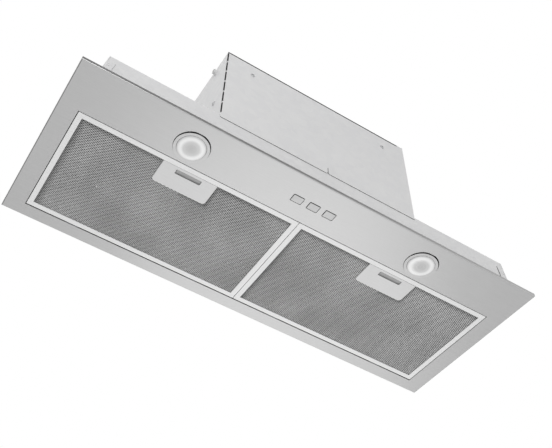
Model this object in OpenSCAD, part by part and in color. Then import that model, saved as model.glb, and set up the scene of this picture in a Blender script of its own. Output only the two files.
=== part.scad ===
// Range hood insert, in millimetres. +Z is up and -Y is the front, where the lamps and buttons are.
// The origin is the centre of the plane on which the hood hangs: the top edge of the face panel's rim.

/* [Face panel] */
// Width of the face panel from end to end
panel_w = 720; // [700:5:900]
// Depth of the face panel from front to back
panel_d = 274; // [272:1:320]
// Thickness of the face panel's sheet
face_t = 1; // [0.8:0.1:1.2]
// Height of the rim turned up round the face panel
rim_h = 5.5; // [4:0.5:8]
// Panel left in front of the filter opening
front_margin = 71; // [71:1:80]
// Panel left behind the filter opening
back_margin = 21; // [20:1:30]
// Panel left beside the filter opening at each end
side_margin = 27; // [27:1:45]

/* [Pan] */
// Height of the pan above the face panel, deck included
pan_h = 63.5; // [62:0.5:90]
// Thickness of the pan's sheet
pan_t = 0.8; // [0.7:0.1:1.2]
// Set-back of the pan's front wall from the panel's front edge
pan_front = 18; // [16:0.5:18]
// Set-back of the pan's back wall from the panel's back edge
pan_back = 9; // [8.5:0.5:10]
// Set-back of each end wall's foot from the panel's end
pan_side = 23; // [16:0.5:24]
// Lean of each end wall between its foot and the deck
end_lean = 10; // [0:1:20]
// Width of the flanges that join the pan's walls to the face panel
foot_w = 6; // [4:0.5:7]
// Width of the end walls' flanges over the front and back walls
lap_w = 12; // [10:1:20]
// Drop from the deck to the top of those flanges
lap_drop = 11; // [8:1:20]
// Width of the deck's air inlet
inlet_w = 280; // [200:5:290]
// Depth of the deck's air inlet
inlet_d = 190; // [120:5:210]
// Spacing of the fixing holes in the deck, left to right
fix_x = 500; // [360:10:560]
// Spacing of the fixing holes in the deck, front to back
fix_y = 160; // [100:5:200]
// Radius of the fixing holes
fix_r = 3; // [2:0.5:4]

/* [Fan box] */
// Width of the fan box
box_w = 327; // [315:1:345]
// Height of the fan box's front cover
box_h = 175.5; // [175:0.5:220]
// Thickness of the fan box's sheet
box_t = 0.8; // [0.7:0.1:1.2]
// Overlap of the front cover over the pan's front wall
box_lap = 5; // [3:0.5:8]
// Depth of the front cover's side returns
return_d = 35; // [32:1:60]
// Width of the fan box's foot flanges
box_foot = 10; // [6:1:11]

/* [Duct and damper] */
// Outside diameter of the duct collar
duct_d = 149; // [147:1:160]
// Height of the duct collar above the fan box
collar_h = 40; // [32:1:50]
// Thickness of the collar's sheet
collar_t = 1.2; // [1:0.1:2]
// Width of the collar's flange
collar_flange = 10; // [9:1:16]
// Height of the damper's rod above the fan box
damper_h = 14; // [11:1:20]
// Thickness of a damper flap
flap_t = 1; // [0.8:0.1:1.2]
// Radius of the damper's rod
rod_r = 2; // [1.5:0.1:2.2]
// Width of the ledge that the closed flaps rest on
ledge_w = 3; // [2:0.5:4]

/* [Blower] */
// Radius of the impeller
wheel_r = 54; // [48:1:56]
// Width of the impeller
wheel_w = 108; // [90:1:110]
// Running gap between the impeller and each cheek
cheek_gap = 3; // [2:0.5:4]
// Gap between the impeller and the housing at the cut-off
cut_gap = 6; // [4:0.5:7]
// Growth of the housing's radius from the cut-off round to the outlet
scroll_growth = 16; // [10:0.5:17]
// Thickness of the blower housing's sheet
blower_t = 1; // [0.8:0.1:1.2]
// Clearance under the blower housing
under_blower = 6; // [4:0.5:8]
// Radius of the motor
motor_r = 30; // [24:1:32]
// Length of the motor
motor_l = 60; // [50:1:62]
// Radius of the motor's shaft
shaft_r = 4; // [3:0.5:5]

/* [Lamps] */
// Distance of each lamp from the middle of the panel
lamp_x = 186; // [120:1:240]
// Distance of the lamps from the panel's front edge
lamp_in = 43; // [42:0.5:44]
// Radius of the lamp's bezel
bezel_r = 23.9; // [23.5:0.1:24.5]
// How far the bezel stands below the panel
bezel_h = 0.3; // [0.1:0.1:1]
// Gap in the panel behind the bezel
lamp_gap_back = 0.3; // [0.3:0.1:1]
// Gap in the panel in front of the bezel
lamp_gap_front = 1.9; // [0.3:0.1:2]
// Radius of the lens
lens_r = 19.6; // [16:0.2:20]
// How far the lens stands below the panel
lens_h = 3; // [2:0.1:4]
// Radius of the lamp's barrel
barrel_r = 22; // [21:0.2:22.6]
// Height of the lamp from the panel's face to the end of its neck
lamp_h = 48; // [46:1:49]

/* [Buttons] */
// Distance of the buttons from the panel's front edge
button_in = 39; // [36:1:42]
// Spacing of the buttons
button_pitch = 25.6; // [24:0.2:28]
// Width of a button
button_w = 16.6; // [12:0.2:18]
// Depth of a button
button_d = 11.9; // [9:0.1:14]
// Gap round a button
button_gap = 0.5; // [0.3:0.1:0.8]
// How far a button stands below the panel
button_h = 0.4; // [0:0.1:1]
// Travel of a button
button_travel = 2.5; // [1.5:0.1:3]

/* [Filters] */
// Thickness of a filter
filter_h = 9; // [9:0.5:12]
// Thickness of the filter frame's sheet
frame_t = 0.8; // [0.6:0.1:0.9]
// Width of the filter frame's bars
bar_w = 7.5; // [6:0.5:10]
// Gap at the filter's front edge
gap_front = 1.2; // [1.2:0.1:2]
// Gap at the filter's back edge
gap_back = 2; // [2:0.1:3]
// Gap at the opening's ends
gap_end = 1.2; // [0.8:0.1:2]
// Gap between the two filters
gap_mid = 1; // [0.8:0.1:2]
// Thickness of each layer of mesh
mesh_t = 0.5; // [0.4:0.1:0.8]
// Number of layers of mesh in a filter
mesh_layers = 3; // [3:1:4]
// Width of the rear tabs
tab_w = 18; // [12:1:30]
// Distance of each rear tab from the middle of its filter
tab_x = 95; // [60:1:130]
// Radius of the rolled end of a rear tab
roll_r = 1.2; // [1:0.05:1.2]

/* [Latches] */
// Distance of the latch from the middle of its filter
latch_off = 0; // [-10:1:10]
// Width of the latch plate
plate_w = 81; // [70:1:100]
// Depth of the latch plate
plate_d = 38; // [37:1:50]
// Radius of the latch plate's rear corners
plate_r = 5; // [3:0.5:8]
// Width of the slot in the latch plate
slot_w = 38; // [30:1:42]
// Depth of the slot in the latch plate
slot_d = 7.5; // [7.5:0.5:9]
// Distance of the slot from the latch plate's front edge
slot_in = 4.5; // [4:0.5:6]
// Radius of the slot's corners
slot_r = 1.5; // [1:0.25:2]
// Travel of the latch slider
latch_travel = 2.8; // [2.6:0.1:3]
// How far the latch leaf reaches over the face panel
leaf_reach = 2.2; // [1.5:0.1:2.2]
// Width of the latch leaf
leaf_w = 24; // [16:1:30]

/* [Hidden] */
$fn = 64;

// Overrun of every cut past the face that it opens, and clearances
cut = 0.5;
fit = 0.05;
slack = 0.3;

// Planes of the face panel
face_z = -rim_h;
inner_z = face_z + face_t;
y_front = -panel_d / 2;
y_back = panel_d / 2;
open_x = panel_w / 2 - side_margin;
open_y0 = y_front + front_margin;
open_y1 = y_back - back_margin;

// Planes of the pan
pan_y0 = y_front + pan_front;
pan_y1 = y_back - pan_back;
mid_y = (pan_y0 + pan_y1) / 2;
pan_x = panel_w / 2 - pan_side;
deck_z = inner_z + pan_h;
deck_low = deck_z - pan_t;
lap_z = deck_low - lap_drop;
function end_x(z) = pan_x - end_lean * (z - inner_z) / pan_h;

// Rivets at the pan's corners
rivet_r = 1.6;
rivet_head_r = 3;
rivet_head_h = 1;
rivet_tail_r = 2.2;
rivet_tail_h = 2;
rivet_edge = 3.6;
rivet_drop = 21.5;
rivet_z = deck_z - rivet_drop;

// Planes of the fan box
box_x = box_w / 2;
box_z0 = deck_z - box_lap;
box_z1 = box_z0 + box_h;
box_under = box_z1 - box_t;
notch_w = 3;
notch_h = 2;
notch_x = 10;

// Screws of the case, all alike
screw_r = 1.9;
screw_hole_r = 2;
screw_head_r = 3.4;
screw_head_h = 1.8;
screw_l = 4;
cover_screw_x = 119.5;
cover_screw_drop = 29.7;
cover_screw_z = box_z1 - cover_screw_drop;
side_screw_in = 27;
side_screw_y = pan_y0 + side_screw_in;
side_screw_up = 62;
side_screw_z = deck_z + side_screw_up;
stiff_h = 12;
stiff_t = 2;
stiff_end = 12;

// Duct collar and damper
duct_r = duct_d / 2;
duct_in = duct_r - collar_t;
collar_screw_r = duct_r + collar_flange / 2;
damper_z = box_z1 + damper_h;
flap_r = duct_in - 0.7 * collar_t;
knuckle_r = rod_r + 1.4 * flap_t;
knuckles = 4;
knuckle_l = 2 * (duct_in - ledge_w - knuckle_r) / knuckles;

// Blower housing: a spiral from the cut-off, under the wheel and up into the outlet
cut_angle = 100;
scroll_r0 = wheel_r + cut_gap;
scroll_r1 = scroll_r0 + scroll_growth;
scroll_steps = 26;
function scroll_r(a) = scroll_r0 + scroll_growth * (a - cut_angle) / (360 - cut_angle);
wheel_y = mid_y - (scroll_r1 + scroll_r0 * cos(cut_angle)) / 2;
wheel_z = deck_z + under_blower + scroll_r(270);
outlet_y0 = wheel_y + scroll_r0 * cos(cut_angle);
outlet_y1 = wheel_y + scroll_r1;
cheek_x = wheel_w / 2 + cheek_gap;
cheek_out = cheek_x + blower_t;
hang_w = 8;
eye_r = wheel_r - 10 * blower_t;
function scroll_path(inset) = concat(
    [[outlet_y0 + inset, box_under]],
    [for (i = [0 : scroll_steps])
        let (a = cut_angle + (360 - cut_angle) * i / scroll_steps, r = scroll_r(a) - inset)
        [wheel_y + r * cos(a), wheel_z + r * sin(a)]],
    [[outlet_y1 - inset, box_under]]
);

// Impeller
blades = 28;
blade_t = 1;
blade_steps = 4;
blade_sweep = 14;
blade_inset = 0.6;
hub_r = 9;
hub_l = 14;
disc_t = 2.5;
ring_t = 2;
ring_w = 9;
function blade_side(turn) = [for (i = [0 : blade_steps])
    let (s = i / blade_steps, r = eye_r + (wheel_r - blade_inset - eye_r) * s, a = turn - blade_sweep * s * s)
    [r * cos(a), r * sin(a)]];

// Motor, its shaft and its bracket
motor_x1 = -(hub_l / 2 + 13 * blower_t);
motor_boss_l = 6;
motor_boss_r = 8;
motor_x0 = motor_x1 - motor_boss_l - motor_l;
shaft_in = 18;
bracket_w = 6;
bracket_t = 4;
bracket_x = motor_x0 + 5 * blower_t;
arm_w = 10;
arm_t = 3;
arms = 3;
leg_r = eye_r + 6 * blower_t;
leg_t = 4;
foot_l = 10;
foot_t = 2;
foot_hole_r = leg_r + leg_t + screw_head_r + slack;

// Run capacitor
cap_r = 17;
cap_l = 55;
cap_base_t = 3;
cap_in = 43.5;
cap_up = 91;
cap_x = box_x - cap_in;
cap_z = deck_z + cap_up;

// Junction box and cable gland
gland_r = 4.6;
gland_bore = 3.4;
gland_flange_r = 5.8;
gland_flange_h = 1.6;
gland_nose_r = 4.4;
gland_nose_h = 3.6;
gland_nut_r = 6.8;
gland_nut_h = 3.5;
gland_drop = 10.8;
gland_in = 35;
gland_z = box_z1 - gland_drop;
gland_y = pan_y0 + gland_in;
junction_t = 1.2;
junction_w = 45;
junction_d = 55;
junction_h = 20.6;
junction_in = 4;
junction_z = box_under - junction_h;

// Switches and their bracket
button_y = y_front + button_in;
switch_w = 15;
switch_d = 20;
switch_h = 20;
switch_up = 11;
stem = 5;
stem_in = 1;
well_h = 8;
lip_w = 1.5;
lip_t = 1.2;
switch_t = 1.2;
switch_span = 2 * button_pitch + button_w + 2 * (button_gap + lip_w + slack);
switch_foot = 8;

// Lamps
lamp_y = y_front + lamp_in;
lamp_hole_r = bezel_r + (lamp_gap_front + lamp_gap_back) / 2;
lamp_hole_y = lamp_y - (lamp_gap_front - lamp_gap_back) / 2;
bezel_rim_h = 4;
lens_in = 1.6;
lens_edge = 1.4;
dome_steps = 12;
barrel_h = 8;
cone_r = 15;
cone_h = 34;
neck_r = 8;
neck_l = 10;
fins = 12;
fin_gap = 2.4;
fin_in = 3;
socket_r = 13;
socket_h = 12;
socket_gap = 2;
strap_w = 14;
strap_t = 1.2;
strap_x = 34;
strap_foot = 8;
socket_z = face_z + lamp_h - neck_l + socket_gap;
strap_z = socket_z + socket_h;

// Filters, from the middle of the panel outwards
filter_x0 = gap_mid / 2;
filter_x1 = open_x - gap_end;
filter_mid = (filter_x0 + filter_x1) / 2;
filter_y0 = open_y0 + gap_front;
filter_y1 = open_y1 - gap_back;
filter_top = face_z + filter_h;
mesh_pitch = (filter_h - 2 * frame_t - mesh_t) / (mesh_layers - 1);
axis_z = inner_z + 0.2 * face_t + roll_r;
tab_t = 1.2;
tab_leg_t = 1;
tab_top = filter_top - face_t;
keeper_t = 1;
keeper_w = 16;
keeper_lap = 0.6;
keeper_x = 5;
keeper_foot = 5;

// Latches, where heights are above the face panel's visible face
latch_x = filter_mid + latch_off;
plate_y0 = filter_y0 + bar_w;
slot_y0 = plate_y0 + slot_in;
leaf_t = 0.6;
leaf_z0 = inner_z + slack;
leaf_z1 = leaf_z0 + leaf_t;
slider_t = 1.2;
slider_w = 44;
slider_d = 16;
slider_y0 = plate_y0 + 2 * slack;
finger_side = 0.25;
finger_end = 1;
finger_d = slot_d - latch_travel - 2.4 * finger_side;
finger_in = 0.3;
housing_w = 56;
housing_d = 34.5;
housing_t = 0.7;
housing_top = face_z + filter_h - 1.8 * face_t;
spring_r = 2.2;
wire_r = 0.6;
spring_z = leaf_z0 + spring_r;

// A block between two opposite corners
module block(low, high) {
    translate(low) cube(high - low);
}

// A plate in the XZ plane from y to y + t
module xz_plate(y, t) {
    translate([0, y + t, 0]) rotate([90, 0, 0]) linear_extrude(t) children();
}

// A plate in the YZ plane from x to x + t
module yz_plate(x, t) {
    translate([x, 0, 0]) rotate([90, 0, 90]) linear_extrude(t) children();
}

// A rod along X, Y or Z from a point
module rod_x(p, r, l) {
    translate(p) rotate([0, 90, 0]) cylinder(r = r, h = l);
}

module rod_y(p, r, l) {
    translate(p) rotate([-90, 0, 0]) cylinder(r = r, h = l);
}

module rod_z(p, r, l) {
    translate(p) cylinder(r = r, h = l);
}

// An upright rectangle with round corners, centred on x and y
module round_bar(w, d, r, z0, z1) {
    for (p = [[w - 2 * r, d], [w, d - 2 * r]])
        block([-p[0] / 2, -p[1] / 2, z0], [p[0] / 2, p[1] / 2, z1]);
    for (x = [-1, 1], y = [-1, 1]) rod_z([x * (w / 2 - r), y * (d / 2 - r), z0], r, z1 - z0);
}

// Face panel
module face_panel() {
    color("silver") difference() {
        block([-panel_w / 2, y_front, face_z], [panel_w / 2, y_back, 0]);
        block([-panel_w / 2 + face_t, y_front + face_t, inner_z], [panel_w / 2 - face_t, y_back - face_t, cut]);
        block([-open_x, open_y0, face_z - cut], [open_x, open_y1, inner_z + cut]);
        for (s = [-1, 1]) rod_z([s * lamp_x, lamp_hole_y, face_z - cut], lamp_hole_r, face_t + 2 * cut);
        for (i = [-1 : 1]) translate([i * button_pitch, button_y, 0])
            round_bar(button_w + 2 * button_gap, button_d + 2 * button_gap, slot_r, face_z - cut, inner_z + cut);
    }
}

// Pan: front and back walls run between the ends, whose flanges lap round them
module long_wall(y, foot_y) {
    difference() {
        union() {
            xz_plate(y, pan_t) polygon([
                [-end_x(inner_z) + pan_t, inner_z], [end_x(inner_z) - pan_t, inner_z],
                [end_x(deck_low) - pan_t, deck_low], [-end_x(deck_low) + pan_t, deck_low]
            ]);
            block(
                [-pan_x + lap_w + pan_t, min(y, foot_y), inner_z],
                [pan_x - lap_w - pan_t, max(y + pan_t, foot_y), inner_z + pan_t]
            );
        }
        for (s = [-1, 1])
            rod_y([s * (end_x(rivet_z) - rivet_edge), y - cut, rivet_z], rivet_r + fit, pan_t + 2 * cut);
    }
}

module pan_front_wall() {
    color("lightgray") long_wall(pan_y0, pan_y0 - foot_w);
}

module pan_back_wall() {
    color("lightgray") long_wall(pan_y1 - pan_t, pan_y1 + foot_w);
}

module end_wall() {
    difference() {
        union() {
            xz_plate(pan_y0 - pan_t, pan_y1 - pan_y0 + 2 * pan_t) polygon([
                [end_x(inner_z) - pan_t, inner_z], [end_x(inner_z), inner_z],
                [end_x(deck_low), deck_low], [end_x(deck_low) - pan_t, deck_low]
            ]);
            for (y = [pan_y0 - pan_t, pan_y1]) xz_plate(y, pan_t) polygon([
                [end_x(inner_z) - lap_w, inner_z], [end_x(inner_z), inner_z],
                [end_x(lap_z), lap_z], [end_x(lap_z) - lap_w, lap_z]
            ]);
            block([pan_x - pan_t, pan_y0, inner_z], [pan_x + foot_w, pan_y1, inner_z + pan_t]);
        }
        rod_y(
            [end_x(rivet_z) - rivet_edge, pan_y0 - pan_t - cut, rivet_z],
            rivet_r + fit, pan_y1 - pan_y0 + 2 * (pan_t + cut)
        );
    }
}

module pan_left_end() {
    color("lightgray") mirror([1, 0, 0]) end_wall();
}

module pan_right_end() {
    color("lightgray") end_wall();
}

module pan_deck() {
    color("lightgray") difference() {
        block([-end_x(deck_low), pan_y0, deck_low], [end_x(deck_low), pan_y1, deck_z]);
        block(
            [-inlet_w / 2, mid_y - inlet_d / 2, deck_low - cut],
            [inlet_w / 2, mid_y + inlet_d / 2, deck_z + cut]
        );
        for (x = [-1, 1], y = [-1, 1])
            rod_z([x * fix_x / 2, mid_y + y * fix_y / 2, deck_low - cut], fix_r, pan_t + 2 * cut);
    }
}

// Fan box
module box_front_cover() {
    color("gainsboro") difference() {
        union() {
            block([-box_x, pan_y0 - box_t, box_z0], [box_x, pan_y0, box_z1]);
            for (s = [0, 1]) mirror([s, 0, 0])
                block(
                    [box_x - 2 * box_t, pan_y0 - box_t, deck_z + 2 * box_t],
                    [box_x - box_t, pan_y0 + return_d, junction_z - 3 * box_t]
                );
        }
        for (s = [-1, 1])
            rod_y([s * cover_screw_x, pan_y0 - box_t - cut, cover_screw_z], screw_hole_r, box_t + 2 * cut);
        rod_x([-box_x - cut, side_screw_y, side_screw_z], screw_hole_r, 2 * (box_x + cut));
        block([notch_x, pan_y0 - box_t - cut, box_z0 - cut], [notch_x + notch_w, pan_y0 + cut, box_z0 + notch_h]);
    }
}

module box_side() {
    difference() {
        union() {
            block([box_x - box_t, pan_y0, deck_z], [box_x, pan_y1, box_z1]);
            block([box_x - box_t - box_foot, pan_y0, deck_z], [box_x, pan_y1 - box_t, deck_z + box_t]);
        }
        rod_x([box_x - box_t - cut, side_screw_y, side_screw_z], screw_hole_r, box_t + 2 * cut);
    }
}

module box_left_side() {
    color("gainsboro") difference() {
        mirror([1, 0, 0]) box_side();
        rod_x([-box_x - cut, gland_y, gland_z], gland_r + fit, box_t + 2 * cut);
    }
}

module box_right_side() {
    color("gainsboro") box_side();
}

module box_back() {
    color("gainsboro") block([-box_x + box_t, pan_y1 - box_t, deck_z], [box_x - box_t, pan_y1, box_z1]);
}

module box_top() {
    color("gainsboro") difference() {
        block([-box_x + box_t, pan_y0, box_under], [box_x - box_t, pan_y1 - box_t, box_z1]);
        rod_z([0, mid_y, box_under - cut], duct_in, box_t + 2 * cut);
        collar_screw_places() rod_z([0, 0, box_under - cut], screw_hole_r, box_t + 2 * cut);
    }
}

module cover_stiffener() {
    color("darkgray") difference() {
        block(
            [-cover_screw_x - stiff_end, pan_y0, cover_screw_z - stiff_h / 2],
            [cover_screw_x + stiff_end, pan_y0 + stiff_t, cover_screw_z + stiff_h / 2]
        );
        for (s = [-1, 1])
            rod_y([s * cover_screw_x, pan_y0 - cut, cover_screw_z], screw_hole_r, stiff_t + 2 * cut);
    }
}

// Duct collar and damper
module collar_screw_places() {
    for (a = [45 : 90 : 315])
        translate([collar_screw_r * cos(a), mid_y + collar_screw_r * sin(a), 0]) children();
}

module duct_collar() {
    ledge_z = damper_z - flap_t / 2 - slack;
    color("silver") difference() {
        union() {
            rod_z([0, mid_y, box_z1], duct_r, collar_h);
            rod_z([0, mid_y, box_z1], duct_r + collar_flange, collar_t);
        }
        rod_z([0, mid_y, box_z1 - cut], duct_in - ledge_w, collar_h + 2 * cut);
        rod_z([0, mid_y, box_z1 - cut], duct_in, ledge_z - collar_t - box_z1 + cut);
        rod_z([0, mid_y, ledge_z], duct_in, box_z1 + collar_h - ledge_z + cut);
        block(
            [-knuckle_r - slack, mid_y - duct_in, ledge_z - collar_t - cut],
            [knuckle_r + slack, mid_y + duct_in, ledge_z + cut]
        );
        rod_y([0, mid_y - duct_r - cut, damper_z], rod_r + fit, duct_d + 2 * cut);
        collar_screw_places() rod_z([0, 0, box_z1 - cut], screw_hole_r, collar_t + 2 * cut);
    }
}

module damper_rod() {
    half = duct_r - collar_t / 4;
    color("gray") rod_y([0, mid_y - half, damper_z], rod_r, 2 * half);
}

// The flap on the +X side; first says which of the knuckles is its own
module damper_flap(first) {
    start = mid_y - knuckle_l * knuckles / 2;
    difference() {
        union() {
            intersection() {
                rod_z([0, mid_y, damper_z - flap_t / 2], flap_r, flap_t);
                block(
                    [knuckle_r + slack, mid_y - duct_r, damper_z - flap_t],
                    [duct_r, mid_y + duct_r, damper_z + flap_t]
                );
            }
            for (i = [first : 2 : knuckles - 1]) {
                y0 = start + i * knuckle_l + slack;
                rod_y([0, y0, damper_z], knuckle_r, knuckle_l - 2 * slack);
                block(
                    [0, y0, damper_z - flap_t / 2],
                    [2 * knuckle_r, y0 + knuckle_l - 2 * slack, damper_z + flap_t / 2]
                );
            }
        }
        rod_y([0, mid_y - duct_r, damper_z], rod_r + fit, duct_d);
    }
}

module damper_flap_left() {
    color("darkgray") mirror([1, 0, 0]) damper_flap(0);
}

module damper_flap_right() {
    color("darkgray") damper_flap(1);
}

// Blower housing
module cheek() {
    difference() {
        union() {
            yz_plate(cheek_x, blower_t) polygon(scroll_path(0));
            block([cheek_x, outlet_y0, box_under - blower_t], [cheek_out + hang_w, outlet_y1, box_under]);
        }
        rod_x([cheek_x - cut, wheel_y, wheel_z], eye_r, blower_t + 2 * cut);
    }
}

module blower_left_cheek() {
    color("lightsteelblue") difference() {
        mirror([1, 0, 0]) cheek();
        arm_places() rod_x([-cheek_out - cut, 0, foot_hole_r], screw_hole_r, blower_t + 2 * cut);
    }
}

module blower_right_cheek() {
    color("lightsteelblue") cheek();
}

module blower_band() {
    inner = scroll_path(blower_t);
    color("lightsteelblue") yz_plate(-cheek_x, 2 * cheek_x)
        polygon(concat(scroll_path(0), [for (i = [len(inner) - 1 : -1 : 0]) inner[i]]));
}

// Impeller, its shaft and the motor
module on_wheel() {
    translate([0, wheel_y, wheel_z]) children();
}

module impeller() {
    near = blade_side(0);
    far = blade_side(180 * blade_t / (PI * eye_r));
    color("dimgray") on_wheel() difference() {
        union() {
            rod_x([-disc_t / 2, 0, 0], wheel_r, disc_t);
            rod_x([-hub_l / 2, 0, 0], hub_r, hub_l);
            for (x = [-wheel_w / 2, wheel_w / 2 - ring_t]) difference() {
                rod_x([x, 0, 0], wheel_r, ring_t);
                rod_x([x - cut, 0, 0], wheel_r - ring_w, ring_t + 2 * cut);
            }
            for (i = [0 : blades - 1]) rotate([i * 360 / blades, 0, 0])
                yz_plate(-wheel_w / 2 + blade_inset, wheel_w - 2 * blade_inset)
                    polygon(concat(near, [for (k = [blade_steps : -1 : 0]) far[k]]));
        }
        rod_x([-hub_l, 0, 0], shaft_r + fit / 2, 2 * hub_l);
    }
}

module motor_shaft() {
    color("silver") on_wheel() rod_x([motor_x1 - shaft_in, 0, 0], shaft_r, hub_l / 2 - motor_x1 + shaft_in);
}

module motor() {
    color("slategray") on_wheel() difference() {
        union() {
            rod_x([motor_x0, 0, 0], motor_r, motor_l);
            rod_x([motor_x1 - motor_boss_l - cut, 0, 0], motor_boss_r, motor_boss_l + cut);
        }
        rod_x([motor_x1 - shaft_in - cut, 0, 0], shaft_r + fit, shaft_in + 2 * cut);
    }
}

module arm_places() {
    on_wheel() for (i = [0 : arms - 1]) rotate([i * 360 / arms, 0, 0]) children();
}

module motor_bracket() {
    ring_r = motor_r + bracket_t;
    color("darkgray") difference() {
        union() {
            on_wheel() rod_x([bracket_x, 0, 0], ring_r, bracket_w);
            arm_places() {
                block([bracket_x, -arm_w / 2, motor_r], [bracket_x + arm_t, arm_w / 2, leg_r + leg_t]);
                block([bracket_x, -arm_w / 2, leg_r], [-cheek_out, arm_w / 2, leg_r + leg_t]);
                block([-cheek_out - foot_t, -arm_w / 2, leg_r], [-cheek_out, arm_w / 2, leg_r + foot_l + leg_t]);
            }
        }
        on_wheel() rod_x([bracket_x - cut, 0, 0], motor_r + fit / 2, bracket_w + 2 * cut);
        arm_places() rod_x([-cheek_out - foot_t - cut, 0, foot_hole_r], screw_hole_r, foot_t + 2 * cut);
    }
}

module run_capacitor() {
    back = pan_y1 - box_t;
    color("whitesmoke") union() {
        rod_z([cap_x, back - cap_base_t - cap_r, cap_z - cap_l / 2], cap_r, cap_l);
        block(
            [cap_x - cap_r, back - cap_base_t, cap_z - cap_r / 2],
            [cap_x + cap_r, back, cap_z + cap_r / 2]
        );
        block(
            [cap_x - cap_r / 2, back - cap_base_t - cap_r, cap_z - cap_r / 2],
            [cap_x + cap_r / 2, back - cap_base_t, cap_z + cap_r / 2]
        );
    }
}

// Junction box under the fan box's top, with the gland that the supply lead enters by
module junction_box() {
    x0 = -box_x + box_t;
    y0 = pan_y0 + junction_in;
    color("dimgray") difference() {
        block([x0, y0, junction_z], [x0 + junction_w, y0 + junction_d, box_under]);
        block(
            [x0 + junction_t, y0 + junction_t, junction_z - cut],
            [x0 + junction_w - junction_t, y0 + junction_d - junction_t, box_under - junction_t]
        );
        rod_x([x0 - cut, gland_y, gland_z], gland_r + fit, junction_t + 2 * cut);
    }
}

module junction_cover() {
    x0 = -box_x + box_t;
    y0 = pan_y0 + junction_in;
    color("dimgray") union() {
        block([x0, y0, junction_z - junction_t], [x0 + junction_w, y0 + junction_d, junction_z]);
        block(
            [x0 + 2 * junction_t, y0 + 2 * junction_t, junction_z],
            [x0 + junction_w - 2 * junction_t, y0 + junction_d - 2 * junction_t, junction_z + junction_t / 2]
        );
    }
}

module cable_gland() {
    nut_x = -box_x + box_t + junction_t;
    color("black") difference() {
        union() {
            rod_x([-box_x - gland_flange_h, gland_y, gland_z], gland_flange_r, gland_flange_h);
            rod_x([-box_x - gland_flange_h - gland_nose_h, gland_y, gland_z], gland_nose_r, gland_nose_h + cut);
            rod_x([-box_x - cut, gland_y, gland_z], gland_r, nut_x + gland_nut_h + box_x + 2 * cut);
            rod_x([nut_x, gland_y, gland_z], gland_nut_r, gland_nut_h);
        }
        rod_x(
            [-box_x - gland_flange_h - gland_nose_h - cut, gland_y, gland_z],
            gland_bore, gland_flange_h + gland_nose_h + nut_x + gland_nut_h + box_x + 3 * cut
        );
    }
}

// Switches and buttons
module switch_bracket() {
    half = switch_span / 2;
    top = inner_z + switch_up + switch_h;
    color("darkgray") union() {
        block(
            [-half - switch_t, button_y - switch_d / 2, top],
            [half + switch_t, button_y + switch_d / 2, top + switch_t]
        );
        for (s = [0, 1]) mirror([s, 0, 0]) {
            block([half, button_y - switch_d / 2, inner_z], [half + switch_t, button_y + switch_d / 2, top]);
            block(
                [half, button_y - switch_d / 2, inner_z],
                [half + switch_foot, button_y + switch_d / 2, inner_z + switch_t]
            );
        }
    }
}

module switch_bodies() {
    well = stem / 2 + slack;
    z0 = inner_z + switch_up;
    color("dimgray") for (i = [-1 : 1]) translate([i * button_pitch, button_y, 0]) difference() {
        block([-switch_w / 2, -switch_d / 2, z0], [switch_w / 2, switch_d / 2, z0 + switch_h]);
        block([-well, -well, z0 - cut], [well, well, z0 + well_h]);
    }
}

module button(i) {
    lip_z = inner_z + slack;
    color("silver") translate([i * button_pitch, button_y, 0]) union() {
        round_bar(button_w, button_d, slot_r - button_gap / 2, face_z - button_h, lip_z + lip_t);
        block(
            [-button_w / 2 - button_gap - lip_w, -button_d / 2 - button_gap - lip_w, lip_z],
            [button_w / 2 + button_gap + lip_w, button_d / 2 + button_gap + lip_w, lip_z + lip_t]
        );
        block([-stem / 2, -stem / 2, lip_z], [stem / 2, stem / 2, inner_z + switch_up + stem_in]);
    }
}

module button_lamp() {
    button(-1);
}

module button_slow() {
    button(0);
}

module button_fast() {
    button(1);
}

// Lamps
module at_lamp(s) {
    translate([s * lamp_x, lamp_y, face_z]) children();
}

module lamp_lens(s) {
    rise = lens_h - lens_edge;
    dome = [for (i = [0 : dome_steps])
        let (a = 90 * i / dome_steps)
        [lens_r * sin(a), -lens_edge - rise * cos(a)]];
    color("ivory", 0.8) at_lamp(s) rotate_extrude() polygon(concat(dome, [[lens_r, lens_in], [0, lens_in]]));
}

module lamp_body(s) {
    color("silver") at_lamp(s) difference() {
        rotate_extrude() polygon([
            [0, lens_in], [lens_r + fit, lens_in], [lens_r + fit, -bezel_h], [bezel_r, -bezel_h], [bezel_r, bezel_rim_h],
            [barrel_r, bezel_rim_h], [barrel_r, barrel_h], [cone_r, cone_h], [cone_r, lamp_h - neck_l],
            [neck_r, lamp_h - neck_l], [neck_r, lamp_h], [0, lamp_h]
        ]);
        for (i = [0 : fins - 1]) rotate([0, 0, i * 360 / fins])
            block([cone_r - fin_in, -fin_gap / 2, barrel_h + fin_in], [bezel_r, fin_gap / 2, cone_h - fin_in]);
    }
}

module lamp_socket(s) {
    color("white") translate([s * lamp_x, lamp_y, socket_z]) difference() {
        cylinder(r = socket_r, h = socket_h);
        translate([0, 0, -cut]) cylinder(r = neck_r + slack, h = neck_l - socket_gap + slack + cut);
    }
}

module lamp_strap(s) {
    color("darkgray") translate([s * lamp_x, lamp_y, 0]) union() {
        block([-strap_x - strap_t, -strap_w / 2, strap_z], [strap_x + strap_t, strap_w / 2, strap_z + strap_t]);
        for (m = [0, 1]) mirror([m, 0, 0]) {
            block([strap_x, -strap_w / 2, inner_z], [strap_x + strap_t, strap_w / 2, strap_z]);
            block([strap_x, -strap_w / 2, inner_z], [strap_x + strap_foot, strap_w / 2, inner_z + strap_t]);
        }
    }
}

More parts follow.
